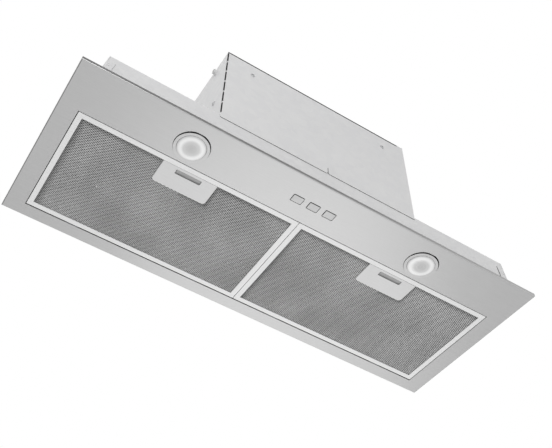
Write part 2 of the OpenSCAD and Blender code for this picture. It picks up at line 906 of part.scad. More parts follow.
// Filters, drawn on the +X side
module filter_frame() {
    color("gainsboro") difference() {
        block([filter_x0, filter_y0, face_z], [filter_x1, filter_y1, filter_top]);
        block(
            [filter_x0 + bar_w, filter_y0 + bar_w, face_z - cut],
            [filter_x1 - bar_w, filter_y1 - bar_w, filter_top + cut]
        );
        block(
            [filter_x0 + frame_t, filter_y0 + frame_t, face_z + frame_t],
            [filter_x1 - frame_t, filter_y1 - frame_t, filter_top - frame_t]
        );
        block(
            [latch_x - leaf_w / 2 - slack, filter_y0 - cut, leaf_z0 - slack / 2],
            [latch_x + leaf_w / 2 + slack, filter_y0 + frame_t + cut, leaf_z1 + slack]
        );
    }
}

module filter_mesh() {
    gap = frame_t + slack;
    color("gray") difference() {
        for (i = [0 : mesh_layers - 1]) translate([0, 0, i * mesh_pitch]) block(
            [filter_x0 + gap, filter_y0 + gap, face_z + frame_t],
            [filter_x1 - gap, filter_y1 - gap, face_z + frame_t + mesh_t]
        );
        block(
            [latch_x - housing_w / 2 - slack, filter_y0, face_z],
            [latch_x + housing_w / 2 + slack, plate_y0 + housing_d + slack, filter_top]
        );
    }
}

module filter_tabs() {
    color("darkgray") for (s = [-1, 1]) translate([filter_mid + s * tab_x - tab_w / 2, 0, 0]) {
        block([0, filter_y1, axis_z - tab_t / 2], [tab_w, filter_y1 + tab_leg_t, tab_top]);
        block([0, filter_y1, axis_z - tab_t / 2], [tab_w, open_y1, axis_z + tab_t / 2]);
        rod_x([0, open_y1, axis_z], roll_r, tab_w);
    }
}

module latch_plate() {
    x0 = latch_x - plate_w / 2;
    x1 = latch_x + plate_w / 2;
    y1 = plate_y0 + plate_d;
    z1 = face_z + frame_t;
    color("lightgray") difference() {
        union() {
            block([x0, plate_y0, face_z], [x1, y1 - plate_r, z1]);
            block([x0 + plate_r, plate_y0, face_z], [x1 - plate_r, y1, z1]);
            for (x = [x0 + plate_r, x1 - plate_r]) rod_z([x, y1 - plate_r, face_z], plate_r, frame_t);
        }
        translate([latch_x, slot_y0 + slot_d / 2, 0]) round_bar(slot_w, slot_d, slot_r, face_z - cut, z1 + cut);
    }
}

module latch_housing() {
    half = housing_w / 2;
    z0 = face_z + frame_t;
    color("lightgray") difference() {
        block([latch_x - half, plate_y0, z0], [latch_x + half, plate_y0 + housing_d, housing_top]);
        block(
            [latch_x - half + housing_t, plate_y0 - cut, z0 - cut],
            [latch_x + half - housing_t, plate_y0 + housing_d - housing_t, housing_top - housing_t]
        );
    }
}

module latch_slider() {
    finger_w = slot_w / 2 - finger_end;
    finger_y = slot_y0 + finger_side;
    color("gray") union() {
        block(
            [latch_x - slider_w / 2, slider_y0, leaf_z1],
            [latch_x + slider_w / 2, slider_y0 + slider_d, leaf_z1 + slider_t]
        );
        block(
            [latch_x - finger_w, finger_y, face_z + finger_in],
            [latch_x + finger_w, finger_y + finger_d, leaf_z1 + slider_t]
        );
    }
}

module latch_leaf() {
    color("darkgray") block(
        [latch_x - leaf_w / 2, open_y0 - leaf_reach, leaf_z0],
        [latch_x + leaf_w / 2, slot_y0, leaf_z1]
    );
}

module latch_spring() {
    y0 = slider_y0 + slider_d;
    y1 = plate_y0 + housing_d - housing_t;
    color("silver") difference() {
        rod_y([latch_x, y0, spring_z], spring_r, y1 - y0);
        rod_y([latch_x, y0 - cut, spring_z], spring_r - wire_r, y1 - y0 + 2 * cut);
    }
}

// Keepers on the pan's floor that hold the rolled ends of the tabs down
module filter_keepers() {
    y0 = open_y1 - keeper_lap;
    y1 = open_y1 + keeper_x;
    z1 = axis_z + roll_r + 1.5 * slack;
    color("darkgray") for (f = [-1, 1], s = [-1, 1])
        translate([f * filter_mid + s * tab_x - keeper_w / 2, 0, 0]) {
            block([0, y0, z1], [keeper_w, y1 + keeper_t, z1 + keeper_t]);
            block([0, y1, inner_z], [keeper_w, y1 + keeper_t, z1 + keeper_t]);
            block([0, y1, inner_z], [keeper_w, y1 + keeper_foot, inner_z + keeper_t]);
        }
}

// Fasteners
module screw() {
    translate([0, 0, -screw_l]) cylinder(r = screw_r, h = screw_l);
    cylinder(r = screw_head_r, h = screw_head_h);
}

module case_screws() {
    color("silver") {
        for (s = [-1, 1]) {
            translate([s * cover_screw_x, pan_y0 - box_t, cover_screw_z]) rotate([90, 0, 0]) screw();
            translate([s * box_x, side_screw_y, side_screw_z]) rotate([0, s * 90, 0]) screw();
        }
        collar_screw_places() translate([0, 0, box_z1 + collar_t]) screw();
        arm_places() translate([-cheek_out - foot_t, 0, foot_hole_r]) rotate([0, -90, 0]) screw();
    }
}

module corner_rivets() {
    color("silver") for (s = [-1, 1], f = [0, 1])
        translate([s * (end_x(rivet_z) - rivet_edge), f ? pan_y1 + pan_t : pan_y0 - pan_t, rivet_z])
            rotate([f ? -90 : 90, 0, 0]) {
                cylinder(r = rivet_head_r, h = rivet_head_h);
                translate([0, 0, -2 * pan_t]) cylinder(r = rivet_r, h = 2 * pan_t);
                translate([0, 0, -2 * pan_t - rivet_tail_h]) cylinder(r = rivet_tail_r, h = rivet_tail_h);
            }
}

face_panel();
pan_front_wall();
pan_back_wall();
pan_left_end();
pan_right_end();
pan_deck();
box_front_cover();
box_left_side();
box_right_side();
box_back();
box_top();
cover_stiffener();
duct_collar();
damper_rod();
damper_flap_left();
damper_flap_right();
blower_left_cheek();
blower_right_cheek();
blower_band();
impeller();
motor_shaft();
motor();
motor_bracket();
run_capacitor();
junction_box();
junction_cover();
cable_gland();
switch_bracket();
switch_bodies();
button_lamp();
button_slow();
button_fast();
lamp_lens(-1);  // lamp_left_lens
lamp_body(-1);  // lamp_left_body
lamp_socket(-1);  // lamp_left_socket
lamp_strap(-1);  // lamp_left_strap
lamp_lens(1);  // lamp_right_lens
lamp_body(1);  // lamp_right_body
lamp_socket(1);  // lamp_right_socket
lamp_strap(1);  // lamp_right_strap
mirror([1, 0, 0]) filter_frame();  // filter_left_frame
mirror([1, 0, 0]) filter_mesh();  // filter_left_mesh
mirror([1, 0, 0]) filter_tabs();  // filter_left_tabs
mirror([1, 0, 0]) latch_plate();  // latch_left_plate
mirror([1, 0, 0]) latch_housing();  // latch_left_housing
mirror([1, 0, 0]) latch_slider();  // latch_left_slider
mirror([1, 0, 0]) latch_leaf();  // latch_left_leaf
mirror([1, 0, 0]) latch_spring();  // latch_left_spring
filter_frame();  // filter_right_frame
filter_mesh();  // filter_right_mesh
filter_tabs();  // filter_right_tabs
latch_plate();  // latch_right_plate
latch_housing();  // latch_right_housing
latch_slider();  // latch_right_slider
latch_leaf();  // latch_right_leaf
latch_spring();  // latch_right_spring
filter_keepers();
case_screws();
corner_rivets();
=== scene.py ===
"""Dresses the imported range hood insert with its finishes, finer pieces, light and camera."""

import logging
import math
from dataclasses import dataclass
from enum import Enum
from typing import Any, Callable, Sequence

import bmesh
import bpy
from mathutils import Matrix, Vector


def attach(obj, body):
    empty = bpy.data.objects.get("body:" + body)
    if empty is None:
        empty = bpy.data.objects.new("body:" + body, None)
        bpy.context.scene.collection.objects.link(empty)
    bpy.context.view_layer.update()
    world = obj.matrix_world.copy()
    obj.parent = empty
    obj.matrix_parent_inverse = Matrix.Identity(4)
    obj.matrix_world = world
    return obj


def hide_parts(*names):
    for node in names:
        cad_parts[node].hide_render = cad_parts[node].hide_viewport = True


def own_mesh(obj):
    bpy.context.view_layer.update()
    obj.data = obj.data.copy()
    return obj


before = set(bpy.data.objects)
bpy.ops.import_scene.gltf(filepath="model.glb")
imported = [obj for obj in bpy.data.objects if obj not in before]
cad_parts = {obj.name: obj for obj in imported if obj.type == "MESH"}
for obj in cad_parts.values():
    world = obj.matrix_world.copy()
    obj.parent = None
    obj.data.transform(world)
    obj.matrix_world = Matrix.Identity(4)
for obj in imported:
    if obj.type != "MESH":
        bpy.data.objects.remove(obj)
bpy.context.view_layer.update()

Mesh = bpy.types.Mesh
WorkMesh = bmesh.types.BMesh
Pair = tuple[float, float]
Triple = tuple[float, float, float]
Cut = tuple[float, float, float, float, float]
Inputs = dict[str | int, Any]

MM = 0.001
MERGE_MM = 0.002
FLAT_DEGREES = 0.5
CREASE_DEGREES = 40.0
SMALL_FACE_MM2 = 2.0
ON_AXIS = 0.9999
BLOWER_AXIS_MM: Pair = (-28.2906, 135.4615)
LOG = logging.getLogger("range_hood")


class Grain(Enum):
    """How a surface's fine marks are stretched along the axes."""

    ALONG_X = (0.02, 1.0, 1.0)
    ALONG_Y = (1.0, 0.02, 1.0)
    SCUFFED = (1.0, 1.0, 0.06)
    NONE = (1.0, 1.0, 1.0)


class Side(Enum):
    """The two sides of the hood, as the sign of X."""

    LEFT = -1
    RIGHT = 1

    @property
    def word(self) -> str:
        """The side's word in node and body names."""
        return self.name.lower()


def linear(code: str) -> tuple[float, float, float, float]:
    """Turns an sRGB hex colour into linear values.

    Args:
        code: The colour, such as "#c8c8c8".

    Returns:
        Red, green, blue and a whole alpha.
    """
    parts = [int(code[i:i + 2], 16) / 255 for i in (1, 3, 5)]
    red, green, blue = (p / 12.92 if p <= 0.04045 else ((p + 0.055) / 1.055) ** 2.4 for p in parts)
    return red, green, blue, 1.0


class Net:
    """A node tree and the means to add to it."""

    def __init__(self, tree: bpy.types.NodeTree) -> None:
        """Takes a tree and empties it."""
        self.tree = tree
        tree.nodes.clear()

    def put(self, node: bpy.types.Node, inputs: Inputs) -> None:
        """Fills a node's inputs.

        Args:
            node: The node.
            inputs: For each input, by name or number, a value or an output socket to link.
        """
        for key, value in inputs.items():
            if isinstance(value, bpy.types.NodeSocket):
                self.tree.links.new(value, node.inputs[key])
            else:
                node.inputs[key].default_value = value

    def add(self, kind: str, inputs: Inputs | None = None, **settings: Any) -> bpy.types.Node:
        """Adds a node.

        Args:
            kind: The node's type name.
            inputs: What fills its inputs.
            settings: Values for the node's own properties.

        Returns:
            The new node.
        """
        node = self.tree.nodes.new(kind)
        for key, value in settings.items():
            setattr(node, key, value)
        self.put(node, inputs or {})
        return node

    def out(self, kind: str, inputs: Inputs | None = None, which: str | int = 0, **settings: Any) -> Any:
        """Adds a node and returns one of its outputs."""
        return self.add(kind, inputs, **settings).outputs[which]

    def calc(self, operation: str, *terms: Any) -> Any:
        """Adds a sum and returns its result."""
        return self.out("ShaderNodeMath", dict(enumerate(terms)), operation=operation)

    def mapped(self, value: Any, ends: Pair, reach: Pair = (0.0, 1.0), **settings: Any) -> Any:
        """Maps a value, from the start and end of its reach to the two ends."""
        return self.out("ShaderNodeMapRange", {
            "Value": value, "From Min": reach[0], "From Max": reach[1],
            "To Min": ends[0], "To Max": ends[1]}, **settings)


class Surface(Net):
    """A material's nodes: its shader, and the object's own coordinates to lay patterns on."""

    def __init__(self, made: bpy.types.Material, shader: str, inputs: Inputs) -> None:
        """Clears a material and gives it a shader.

        Args:
            made: The material.
            shader: The shader's type name.
            inputs: What fills the shader's inputs.
        """
        made.use_nodes = True
        super().__init__(made.node_tree)
        self.shader = self.add(shader, inputs)
        self.add("ShaderNodeOutputMaterial", {"Surface": self.shader.outputs[0]})
        self.where = self.out("ShaderNodeTexCoord", which="Object")

    def attribute(self, name: str) -> Any:
        """Reads a value that the mesh stores under a name."""
        return self.out("ShaderNodeAttribute", which="Fac", attribute_name=name)

    def multiply(self, first: Any, second: Any) -> Any:
        """Multiplies two colours."""
        return self.out("ShaderNodeMix", {0: 1.0, 6: first, 7: second}, 2,
                        data_type="RGBA", blend_type="MULTIPLY")

    def blend(self, share: float, first: Any, second: Any) -> Any:
        """Mixes two values."""
        return self.out("ShaderNodeMix", {"Factor": share, "A": first, "B": second}, data_type="FLOAT")

    def ramp(self, fac: Any, stops: Sequence[tuple[float, str]]) -> Any:
        """Adds a colour ramp.

        Args:
            fac: The socket that drives the ramp.
            stops: Places from 0 to 1 with their sRGB hex colours.

        Returns:
            The ramp's colour socket.
        """
        node = self.add("ShaderNodeValToRGB", {"Fac": fac})
        band = node.color_ramp
        while len(band.elements) < len(stops):
            band.elements.new(0.5)
        for element, (place, code) in zip(band.elements, stops):
            element.position = place
            element.color = linear(code)
        return node.outputs["Color"]

    def noise(self, cell_mm: float, stretch: Triple = (1.0, 1.0, 1.0)) -> Any:
        """Returns noise whose cells have a size, stretched along the axes."""
        laid = self.out("ShaderNodeMapping", {
            "Vector": self.where, "Scale": [1 / (cell_mm * MM) * s for s in stretch]})
        return self.out("ShaderNodeTexNoise", {
            "Vector": laid, "Scale": 1.0, "Detail": 3.0, "Roughness": 0.55})

    def relief(self, height: Any, depth_mm: float, strength: float) -> None:
        """Gives the shader a bump of a real depth."""
        bump = self.out("ShaderNodeBump", {
            "Height": height, "Distance": depth_mm * MM, "Strength": strength})
        self.put(self.shader, {"Normal": bump})


@dataclass(frozen=True)
class Finish:
    """A real material and its surface, from which a Blender material is made."""

    name: str
    slot: str
    light: str
    dark: str
    roughness: float
    metallic: float = 0.0

    def material(self) -> bpy.types.Material:
        """Makes the material.

        Returns:
            The material, or the one already made under this name.
        """
        made = bpy.data.materials.get(self.name)
        if not made:
            made = bpy.data.materials.new(self.name)
            made.diffuse_color = linear(self.light)
            self.dress(Surface(made, "ShaderNodeBsdfPrincipled", {
                "Metallic": self.metallic, "Roughness": self.roughness}))
        return made

    def dress(self, on: Surface) -> None:
        """Adds the finish's own pattern to a material's nodes."""
        raise NotImplementedError

    def tint(self, on: Surface, value: Any, start: float, end: float) -> None:
        """Colours the shader from the dark shade at the value's start to the light one at its end."""
        on.put(on.shader, {"Base Color": on.ramp(value, [(start, self.dark), (end, self.light)])})

    def gloss(self, on: Surface, value: Any, spread: float, reach: Pair = (0.0, 1.0)) -> None:
        """Varies the roughness by the spread to both sides of its mean."""
        ends = self.roughness - spread, self.roughness + spread
        on.put(on.shader, {"Roughness": on.mapped(value, ends, reach)})


@dataclass(frozen=True)
class GrainedMetal(Finish):
    """Sheet or strip with rolling or brushing marks: long fine streaks in colour, gloss and height."""

    grain: Grain = Grain.ALONG_X
    streak_mm: float = 0.5
    streak_depth_mm: float = 0.004
    gloss_spread: float = 0.06
    cloud_mm: float = 90.0
    cloud_share: float = 0.35

    def dress(self, on: Surface) -> None:
        """Adds streaks along the grain and a slow cloudiness across the sheet.

        Args:
            on: The material's nodes.
        """
        streak = on.noise(self.streak_mm, self.grain.value)
        cloud = on.noise(self.cloud_mm)
        self.tint(on, on.blend(self.cloud_share, streak, cloud), start=0.32, end=0.68)
        self.gloss(on, streak, self.gloss_spread, reach=(0.3, 0.7))
        on.relief(streak, self.streak_depth_mm, strength=0.35)


@dataclass(frozen=True)
class MeshMetal(Finish):
    """Expanded metal with painted shade: strands darker between their bonds, where they twist from the
    light, and near the front and left bars and the latch plate, where their shadow falls; slow waves vary
    the tone.
    """

    mottle_mm: float = 1.5
    mottle_depth_mm: float = 0.01
    bond_mm: float = 2.815
    twist_shade: str = "#dedede"
    dip_mm: float = 9.0
    dip_shade: str = "#b4b4b4"
    wave_mm: float = 80.0
    wave_stretch: Triple = (1.0, 0.7, 1.0)
    wave_shade: str = "#e6e6e6"

    def dress(self, on: Surface) -> None:
        """Multiplies a strand-sized mottle by painted shadow near those bars, by painted shade between the
        bonds and by the waves.

        Args:
            on: The material's nodes.
        """
        mottle = on.noise(self.mottle_mm)
        away = on.calc("DIVIDE", on.attribute("edge_mm"), self.dip_mm)
        turn = on.calc("MULTIPLY", on.attribute("along_mm"), 2 * math.pi / self.bond_mm)
        colour = on.ramp(mottle, [(0.3, self.dark), (0.7, self.light)])
        # Painted shadow by the bars and plate, then painted shade between the bonds, then the waves' tone.
        for value, start, end, shade in (
                (away, 0.0, 1.0, self.dip_shade), (on.calc("COSINE", turn), 0.0, 0.8, self.twist_shade),
                (on.noise(self.wave_mm, self.wave_stretch), 0.35, 0.65, self.wave_shade)):
            colour = on.multiply(colour, on.ramp(value, [(start, shade), (end, "#ffffff")]))
        on.put(on.shader, {"Base Color": colour})
        on.relief(mottle, self.mottle_depth_mm, strength=0.3)


@dataclass(frozen=True)
class GalvanisedSheet(Finish):
    """Hot-dip galvanised sheet: a faint patchwork of zinc crystals with slightly different gloss."""

    spangle_mm: float = 7.0
    cloud_mm: float = 120.0
    cloud_share: float = 0.55
    scuff_mm: float = 0.8
    scuff_depth_mm: float = 0.003

    def dress(self, on: Surface) -> None:
        """Adds the zinc crystals, a slow cloudiness and a few fine scuffs.

        Args:
            on: The material's nodes.
        """
        crystal = on.out("ShaderNodeTexVoronoi", {
            "Vector": on.where, "Scale": 1 / (self.spangle_mm * MM), "Randomness": 1.0}, "Color",
            feature="F1")
        grey = on.add("ShaderNodeSeparateColor", {"Color": crystal}).outputs
        cloud = on.noise(self.cloud_mm)
        self.tint(on, on.blend(self.cloud_share, grey["Red"], cloud), start=0.2, end=0.8)
        self.gloss(on, grey["Green"], spread=0.05)
        on.relief(on.noise(self.scuff_mm, Grain.SCUFFED.value), self.scuff_depth_mm, strength=0.2)


@dataclass(frozen=True)
class FineTextured(Finish):
    """Moulded plastic, paint or ceramic: an even colour with a fine texture and soft gloss changes."""

    texture_mm: float = 0.6
    texture_depth_mm: float = 0.02
    coat: float = 0.0
    mottle_mm: float = 25.0

    def dress(self, on: Surface) -> None:
        """Adds the fine texture and a slight mottle.

        Args:
            on: The material's nodes.
        """
        mottle = on.noise(self.mottle_mm)
        self.tint(on, mottle, start=0.3, end=0.7)
        self.gloss(on, mottle, spread=0.06)
        on.put(on.shader, {"Coat Weight": self.coat})
        on.relief(on.noise(self.texture_mm), self.texture_depth_mm, strength=0.4)


@dataclass(frozen=True)
class PressedGlass(Finish):
    """The lamp's pressed and frosted glass: pale rings painted in as the light that the glass catches, over
    a grey middle painted for the reflector behind it.
    """

    radius_mm: float = 19.6
    frost_mm: float = 1.2
    frost_depth_mm: float = 0.02
    frost_shades: Pair = (0.96, 1.0)
    coat: float = 0.4
    # Painted light: the stops' pale colours stand in for the light caught in the pressed rings.
    rings: tuple[tuple[float, str], ...] = (
        (0.0, "#c6c6c6"), (0.3, "#cecece"), (0.52, "#dadada"), (0.64, "#f0f0f0"), (0.74, "#ffffff"),
        (0.86, "#fafafa"), (0.93, "#e2e2e2"), (1.0, "#d2d2d2"))

    def dress(self, on: Surface) -> None:
        """Paints the bright rings of caught light by each point's own distance from the lens's centre.

        Args:
            on: The material's nodes.
        """
        share = on.calc("DIVIDE", on.attribute("ring_mm"), self.radius_mm)
        frost = on.noise(self.frost_mm)
        shaded = on.multiply(on.ramp(share, self.rings), on.mapped(frost, self.frost_shades))
        on.put(on.shader, {"Base Color": shaded, "IOR": 1.5, "Coat Weight": self.coat})
        on.relief(frost, self.frost_depth_mm, strength=0.25)


# Stainless steel strip, brushed along its length: soft streaks that smear the light along the width.
BRUSHED_STAINLESS = GrainedMetal(
    "brushed_stainless", "panel_steel", "#c9c9c9", "#c1c1c1", 0.36, 0.82,
    Grain.ALONG_X, 0.6, 0.002, 0.03, 300.0)
# The same strip on its bent ends, painted dark grey and matt: painted shade for the dark line along the
# panel's ends.
SHADED_FOLD_STAINLESS = GrainedMetal(
    "folded_stainless", "panel_steel", "#858585", "#777777", 0.6, 0.0,
    Grain.ALONG_Y, 0.6, 0.004, 0.05, 60.0)
# Hot-dip galvanised steel with minimised spangle: pale, dull, with a hardly visible patchwork.
GALVANISED = GalvanisedSheet("galvanised_steel", "galvanised_sheet", "#d8d8d8", "#d3d3d4", 0.52, 0.1, 9.0)
# A sheared edge or a slot's wall, painted near black: partly the dull bare steel where the zinc ends,
# partly painted shade in the slots, notch, seam and slit.
SHEARED_EDGE_AND_SHADE = GrainedMetal(
    "sheared_steel_edge", "galvanised_sheet", "#3c3c3d", "#2e2e2f", 0.6, 0.3,
    Grain.NONE, 0.5, 0.01, 0.05, 20.0)
# Zinc plated and passivated steel: a neutral grey, smoother than galvanised sheet, with a soft sheen.
ZINC_PLATED = GrainedMetal(
    "zinc_plated_steel", "zinc_plated", "#cdcecf", "#b6b7b8", 0.42, 0.6, Grain.NONE, 1.2, 0.004, 0.05, 20.0)
# Satin aluminium strip, chemically brightened: almost white, with fine drawing marks.
SATIN_ALUMINIUM = GrainedMetal(
    "brightened_aluminium", "satin_aluminium", "#f2f2f2", "#eaeaea", 0.45, 0.15,
    Grain.ALONG_X, 0.7, 0.003, 0.04, 60.0)
# Expanded aluminium: slit and stretched strip whose flat bare strands catch the light, almost white.
EXPANDED_ALUMINIUM = MeshMetal("expanded_aluminium", "mesh_aluminium", "#ffffff", "#f4f4f4", 0.5)
# The mesh's inner layers, in the same strip, painted dark grey as painted shade behind the bright front
# strands.
SHADED_INNER_ALUMINIUM = MeshMetal("dulled_aluminium", "mesh_aluminium", "#363636", "#242424", 0.5, 0.2)
# Aluminium strip pressed into the latch's plate, without the brightening: a shade greyer than the frame.
PRESSED_ALUMINIUM = GrainedMetal(
    "pressed_aluminium", "satin_aluminium", "#dedede", "#d6d6d6", 0.42, 0.25,
    Grain.ALONG_X, 0.7, 0.003, 0.04, 60.0)
# Hardened spring strip: grey blue and fairly bright.
SPRING_STEEL = GrainedMetal(
    "bare_spring_steel", "spring_steel", "#b4b7bb", "#8e9196", 0.3, 1.0,
    Grain.ALONG_Y, 0.4, 0.003, 0.05, 25.0)
# Ground steel rod: bright, with marks round it.
GROUND_STEEL = GrainedMetal(
    "ground_steel", "shaft_steel", "#d4d5d7", "#b9babd", 0.2, 1.0, Grain.NONE, 0.5, 0.002, 0.04, 12.0)
# Die-cast zinc lamp ring, nickel plated to a satin sheen: close to the panel's own grey.
LAMP_RING = GrainedMetal(
    "satin_lamp_ring", "lamp_housing", "#d2d2d2", "#c0c0c0", 0.38, 0.7, Grain.NONE, 0.8, 0.004, 0.05, 15.0)
# Rolled aluminium of the impeller, left as it comes from the mill: pale, with fine marks along the blades.
MILL_ALUMINIUM = GrainedMetal(
    "mill_aluminium", "wheel_aluminium", "#cfd0d2", "#b2b3b6", 0.33, 0.95,
    Grain.ALONG_X, 0.6, 0.004, 0.06, 30.0)
# Pressed and frosted glass: bright rings painted in as the light it catches, with a soft shine from its
# coat, over a greyer middle.
LENS_GLASS = PressedGlass("pressed_glass", "lamp_glass", "#e9e9e9", "#b9b9b9", 0.2)
# Moulded black ABS, as on duct collars and junction boxes: a fine spark-eroded texture. Also painted on the
# lamp rings' and buttons' skirts as painted shade.
BLACK_ABS = FineTextured("black_abs", "black_plastic", "#1d1d1f", "#161618", 0.5, 0.0, 0.7)
# Moulded nylon of the cable gland, left in its natural pale grey: matt and slightly rough.
GLAND_NYLON = FineTextured("gland_nylon", "black_plastic", "#dcdcdc", "#d0d0d0", 0.5, 0.0, 0.8, 0.015)
# Moulded ABS of the button caps, painted silver grey: as pale as the panel, but without its grain.
BUTTON_ABS = FineTextured("silver_button_abs", "grey_plastic", "#d3d3d3", "#cacaca", 0.4, 0.15, 0.5, 0.008)
# Moulded grey ABS of the latch's slider: matt, darker than the plate round it.
SLIDER_ABS = FineTextured("grey_slider_abs", "grey_plastic", "#adadad", "#a2a2a2", 0.45, 0.0, 0.6, 0.015)
# Baked paint on the motor's shell: satin black.
MOTOR_PAINT = FineTextured("motor_paint", "motor_black", "#2a2a2c", "#202022", 0.38, 0.1, 1.0, 0.02, 0.1)
# Moulded case of the film capacitor: smooth warm white with a slight shine.
CAPACITOR_CASE = FineTextured(
    "capacitor_case", "capacitor_plastic", "#e6e6e2", "#dcdcd8", 0.25, 0.0, 1.5, 0.005, 0.3)
# Fired, unglazed steatite of the lamp socket: chalky and warm white.
STEATITE = FineTextured("steatite", "white_ceramic", "#ece9e2", "#dfdcd4", 0.6, 0.0, 0.5, 0.03)


def placed(name: str, data: Any) -> bpy.types.Object:
    """Makes an object and links it to the scene.

    Args:
        name: The object's name.
        data: Its mesh, camera or light.

    Returns:
        The object.
    """
    made = bpy.data.objects.new(name, data)
    bpy.context.scene.collection.objects.link(made)
    return made


def closed(work: WorkMesh, name: str) -> Mesh:
    """Turns a working mesh into a mesh.

    Args:
        work: The working mesh, freed here.
        name: The mesh's name.

    Returns:
        The new mesh.
    """
    mesh = bpy.data.meshes.new(name)
    work.to_mesh(mesh)
    work.free()
    return mesh


def store(mesh: Mesh, name: str, values: Sequence[float]) -> None:
    """Stores a value for each point of a mesh under a name."""
    mesh.attributes.new(name, "FLOAT", "POINT").data.foreach_set("value", values)


def evaluated(carrier: bpy.types.Object) -> Mesh:
    """Returns a new mesh of the object with its modifiers applied."""
    bpy.context.view_layer.update()
    return bpy.data.meshes.new_from_object(carrier.evaluated_get(bpy.context.evaluated_depsgraph_get()))


def new_piece(name: str, mesh: Mesh, finish: Finish, body: str, *nodes: str) -> bpy.types.Object:
    """Links a finished mesh as a piece of the hood.

    Args:
        name: The piece's name.
        mesh: Its mesh, in place in the row frame.
        finish: What it is made of.
        body: The body that it rides on.
        nodes: CAD nodes that it stands for.

    Returns:
        The piece's object.
    """
    piece = placed(name, mesh)
    mesh.materials.clear()
    mesh.materials.append(finish.material())
    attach(piece, body)
    if nodes:
        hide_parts(*nodes)
    LOG.info("piece %s: %d faces on %s", name, len(mesh.polygons), body)
    return piece


def paint_faces(mesh: Mesh, finish: Finish, chosen: Callable[[Vector, Vector], bool]) -> None:
    """Gives some faces of a piece a second finish.

    Args:
        mesh: The piece's mesh.
        finish: The second finish.
        chosen: Says yes to a face by its centre in millimetres and its normal.
    """
    mesh.materials.append(finish.material())
    place = len(mesh.materials) - 1
    for face in mesh.polygons:
        if chosen(face.center / MM, face.normal):
            face.material_index = place


def dress_node(node: str, finish: Finish) -> None:
    """Gives a CAD node its material."""
    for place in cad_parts[node].material_slots:
        place.material = finish.material()
    LOG.info("node %s: %s", node, finish.name)


def smooth_by_angle(mesh: Mesh, degrees: float = 50.0, flat_along: str = "") -> Mesh:
    """Shades a mesh smooth except at sharp edges and on its true flats.

    Args:
        mesh: The mesh.
        degrees: Edges sharper than this stay sharp.
        flat_along: The axes whose flat faces are shaded flat, so that no rounding tints them.

    Returns:
        The same mesh.
    """
    mesh.shade_smooth()
    mesh.set_sharp_from_angle(angle=math.radians(degrees))
    axes = ["XYZ".index(letter) for letter in flat_along]
    for face in mesh.polygons:
        if face.area > SMALL_FACE_MM2 * MM * MM and any(abs(face.normal[i]) > ON_AXIS for i in axes):
            face.use_smooth = False
    return mesh


def merged_copy(node: str) -> WorkMesh:
    """Copies a CAD node's mesh with its loose triangles merged and its flat faces joined.

    Args:
        node: The CAD node's name.

    Returns:
        The copy, which the caller frees.
    """
    work = bmesh.new()
    work.from_mesh(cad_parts[node].data)
    bmesh.ops.remove_doubles(work, verts=work.verts, dist=MERGE_MM * MM)
    bmesh.ops.dissolve_limit(
        work, angle_limit=math.radians(FLAT_DEGREES), verts=work.verts, edges=work.edges,
        delimit={"NORMAL"})
    return work


def round_edges(
    work: WorkMesh, width_mm: float, segments: int, angle: float, chosen: Callable[[Any], bool] = bool,
) -> None:
    """Bevels a working mesh's chosen edges whose two faces meet at more than an angle in radians."""
    sharp = [
        e for e in work.edges if len(e.link_faces) == 2 and e.calc_face_angle(0.0) > angle and chosen(e)]
    bmesh.ops.bevel(
        work, geom=sharp, offset=width_mm * MM, offset_type="OFFSET", segments=segments, profile=0.5,
        affect="EDGES", clamp_overlap=True)


def eased(node: str, width_mm: float, segments: int = 2, flat_along: str = "XYZ") -> Mesh:
    """Copies a CAD node with its sharp edges rounded, as folded, moulded or deburred edges are.

    Args:
        node: The CAD node's name.
        width_mm: The rounding's width.
        segments: Faces across the rounding.
        flat_along: The axes whose flat faces are shaded flat.

    Returns:
        The new mesh.
    """
    work = merged_copy(node)
    round_edges(work, width_mm, segments, math.radians(CREASE_DEGREES))
    return smooth_by_angle(closed(work, node + "_eased"), flat_along=flat_along)


def block(work: WorkMesh, low: Triple, high: Triple) -> None:
    """Adds a block to a working mesh.

    Args:
        work: The working mesh.
        low: The block's lowest corner in millimetres.
        high: Its highest corner.
    """
    made = bmesh.ops.create_cube(work, size=1.0)
    centre = [(a + b) / 2 * MM for a, b in zip(low, high)]
    size = [(b - a) * MM for a, b in zip(low, high)]
    bmesh.ops.scale(work, vec=size, verts=made["verts"])
    bmesh.ops.translate(work, vec=centre, verts=made["verts"])


def turned(profile: Sequence[Pair], steps: int = 48) -> Mesh:
    """Turns a profile about Z, closed at both ends or, where its ends are one point, into a ring.

    Args:
        profile: Radius and height pairs in millimetres, from the lower end to the upper.
        steps: Faces round the axis.

    Returns:
        The new mesh, about the origin.
    """
    work = bmesh.new()
    whole = profile[0] == profile[-1]
    rings = [[
        work.verts.new((radius * MM * math.cos(a), radius * MM * math.sin(a), height * MM))
        for a in (2 * math.pi * i / steps for i in range(steps if radius else 1))]
        for radius, height in (profile[:-1] if whole else profile)]
    if whole:
        rings.append(rings[0])
    for lower, upper in zip(rings, rings[1:]):
        for i in range(steps):
            corners = [ring[k % steps % len(ring)] for ring, k in (
                (lower, i), (lower, i + 1), (upper, i + 1), (upper, i))]
            work.faces.new(tuple(dict.fromkeys(corners)))
    bmesh.ops.recalc_face_normals(work, faces=work.faces)
    return closed(work, "turned")


def along_x(mesh: Mesh, start_mm: Triple) -> Mesh:
    """Lays a turned mesh along X from a start in millimetres."""
    mesh.transform(Matrix.Translation([c * MM for c in start_mm]) @ Matrix.Rotation(math.pi / 2, 4, "Y"))
    return mesh


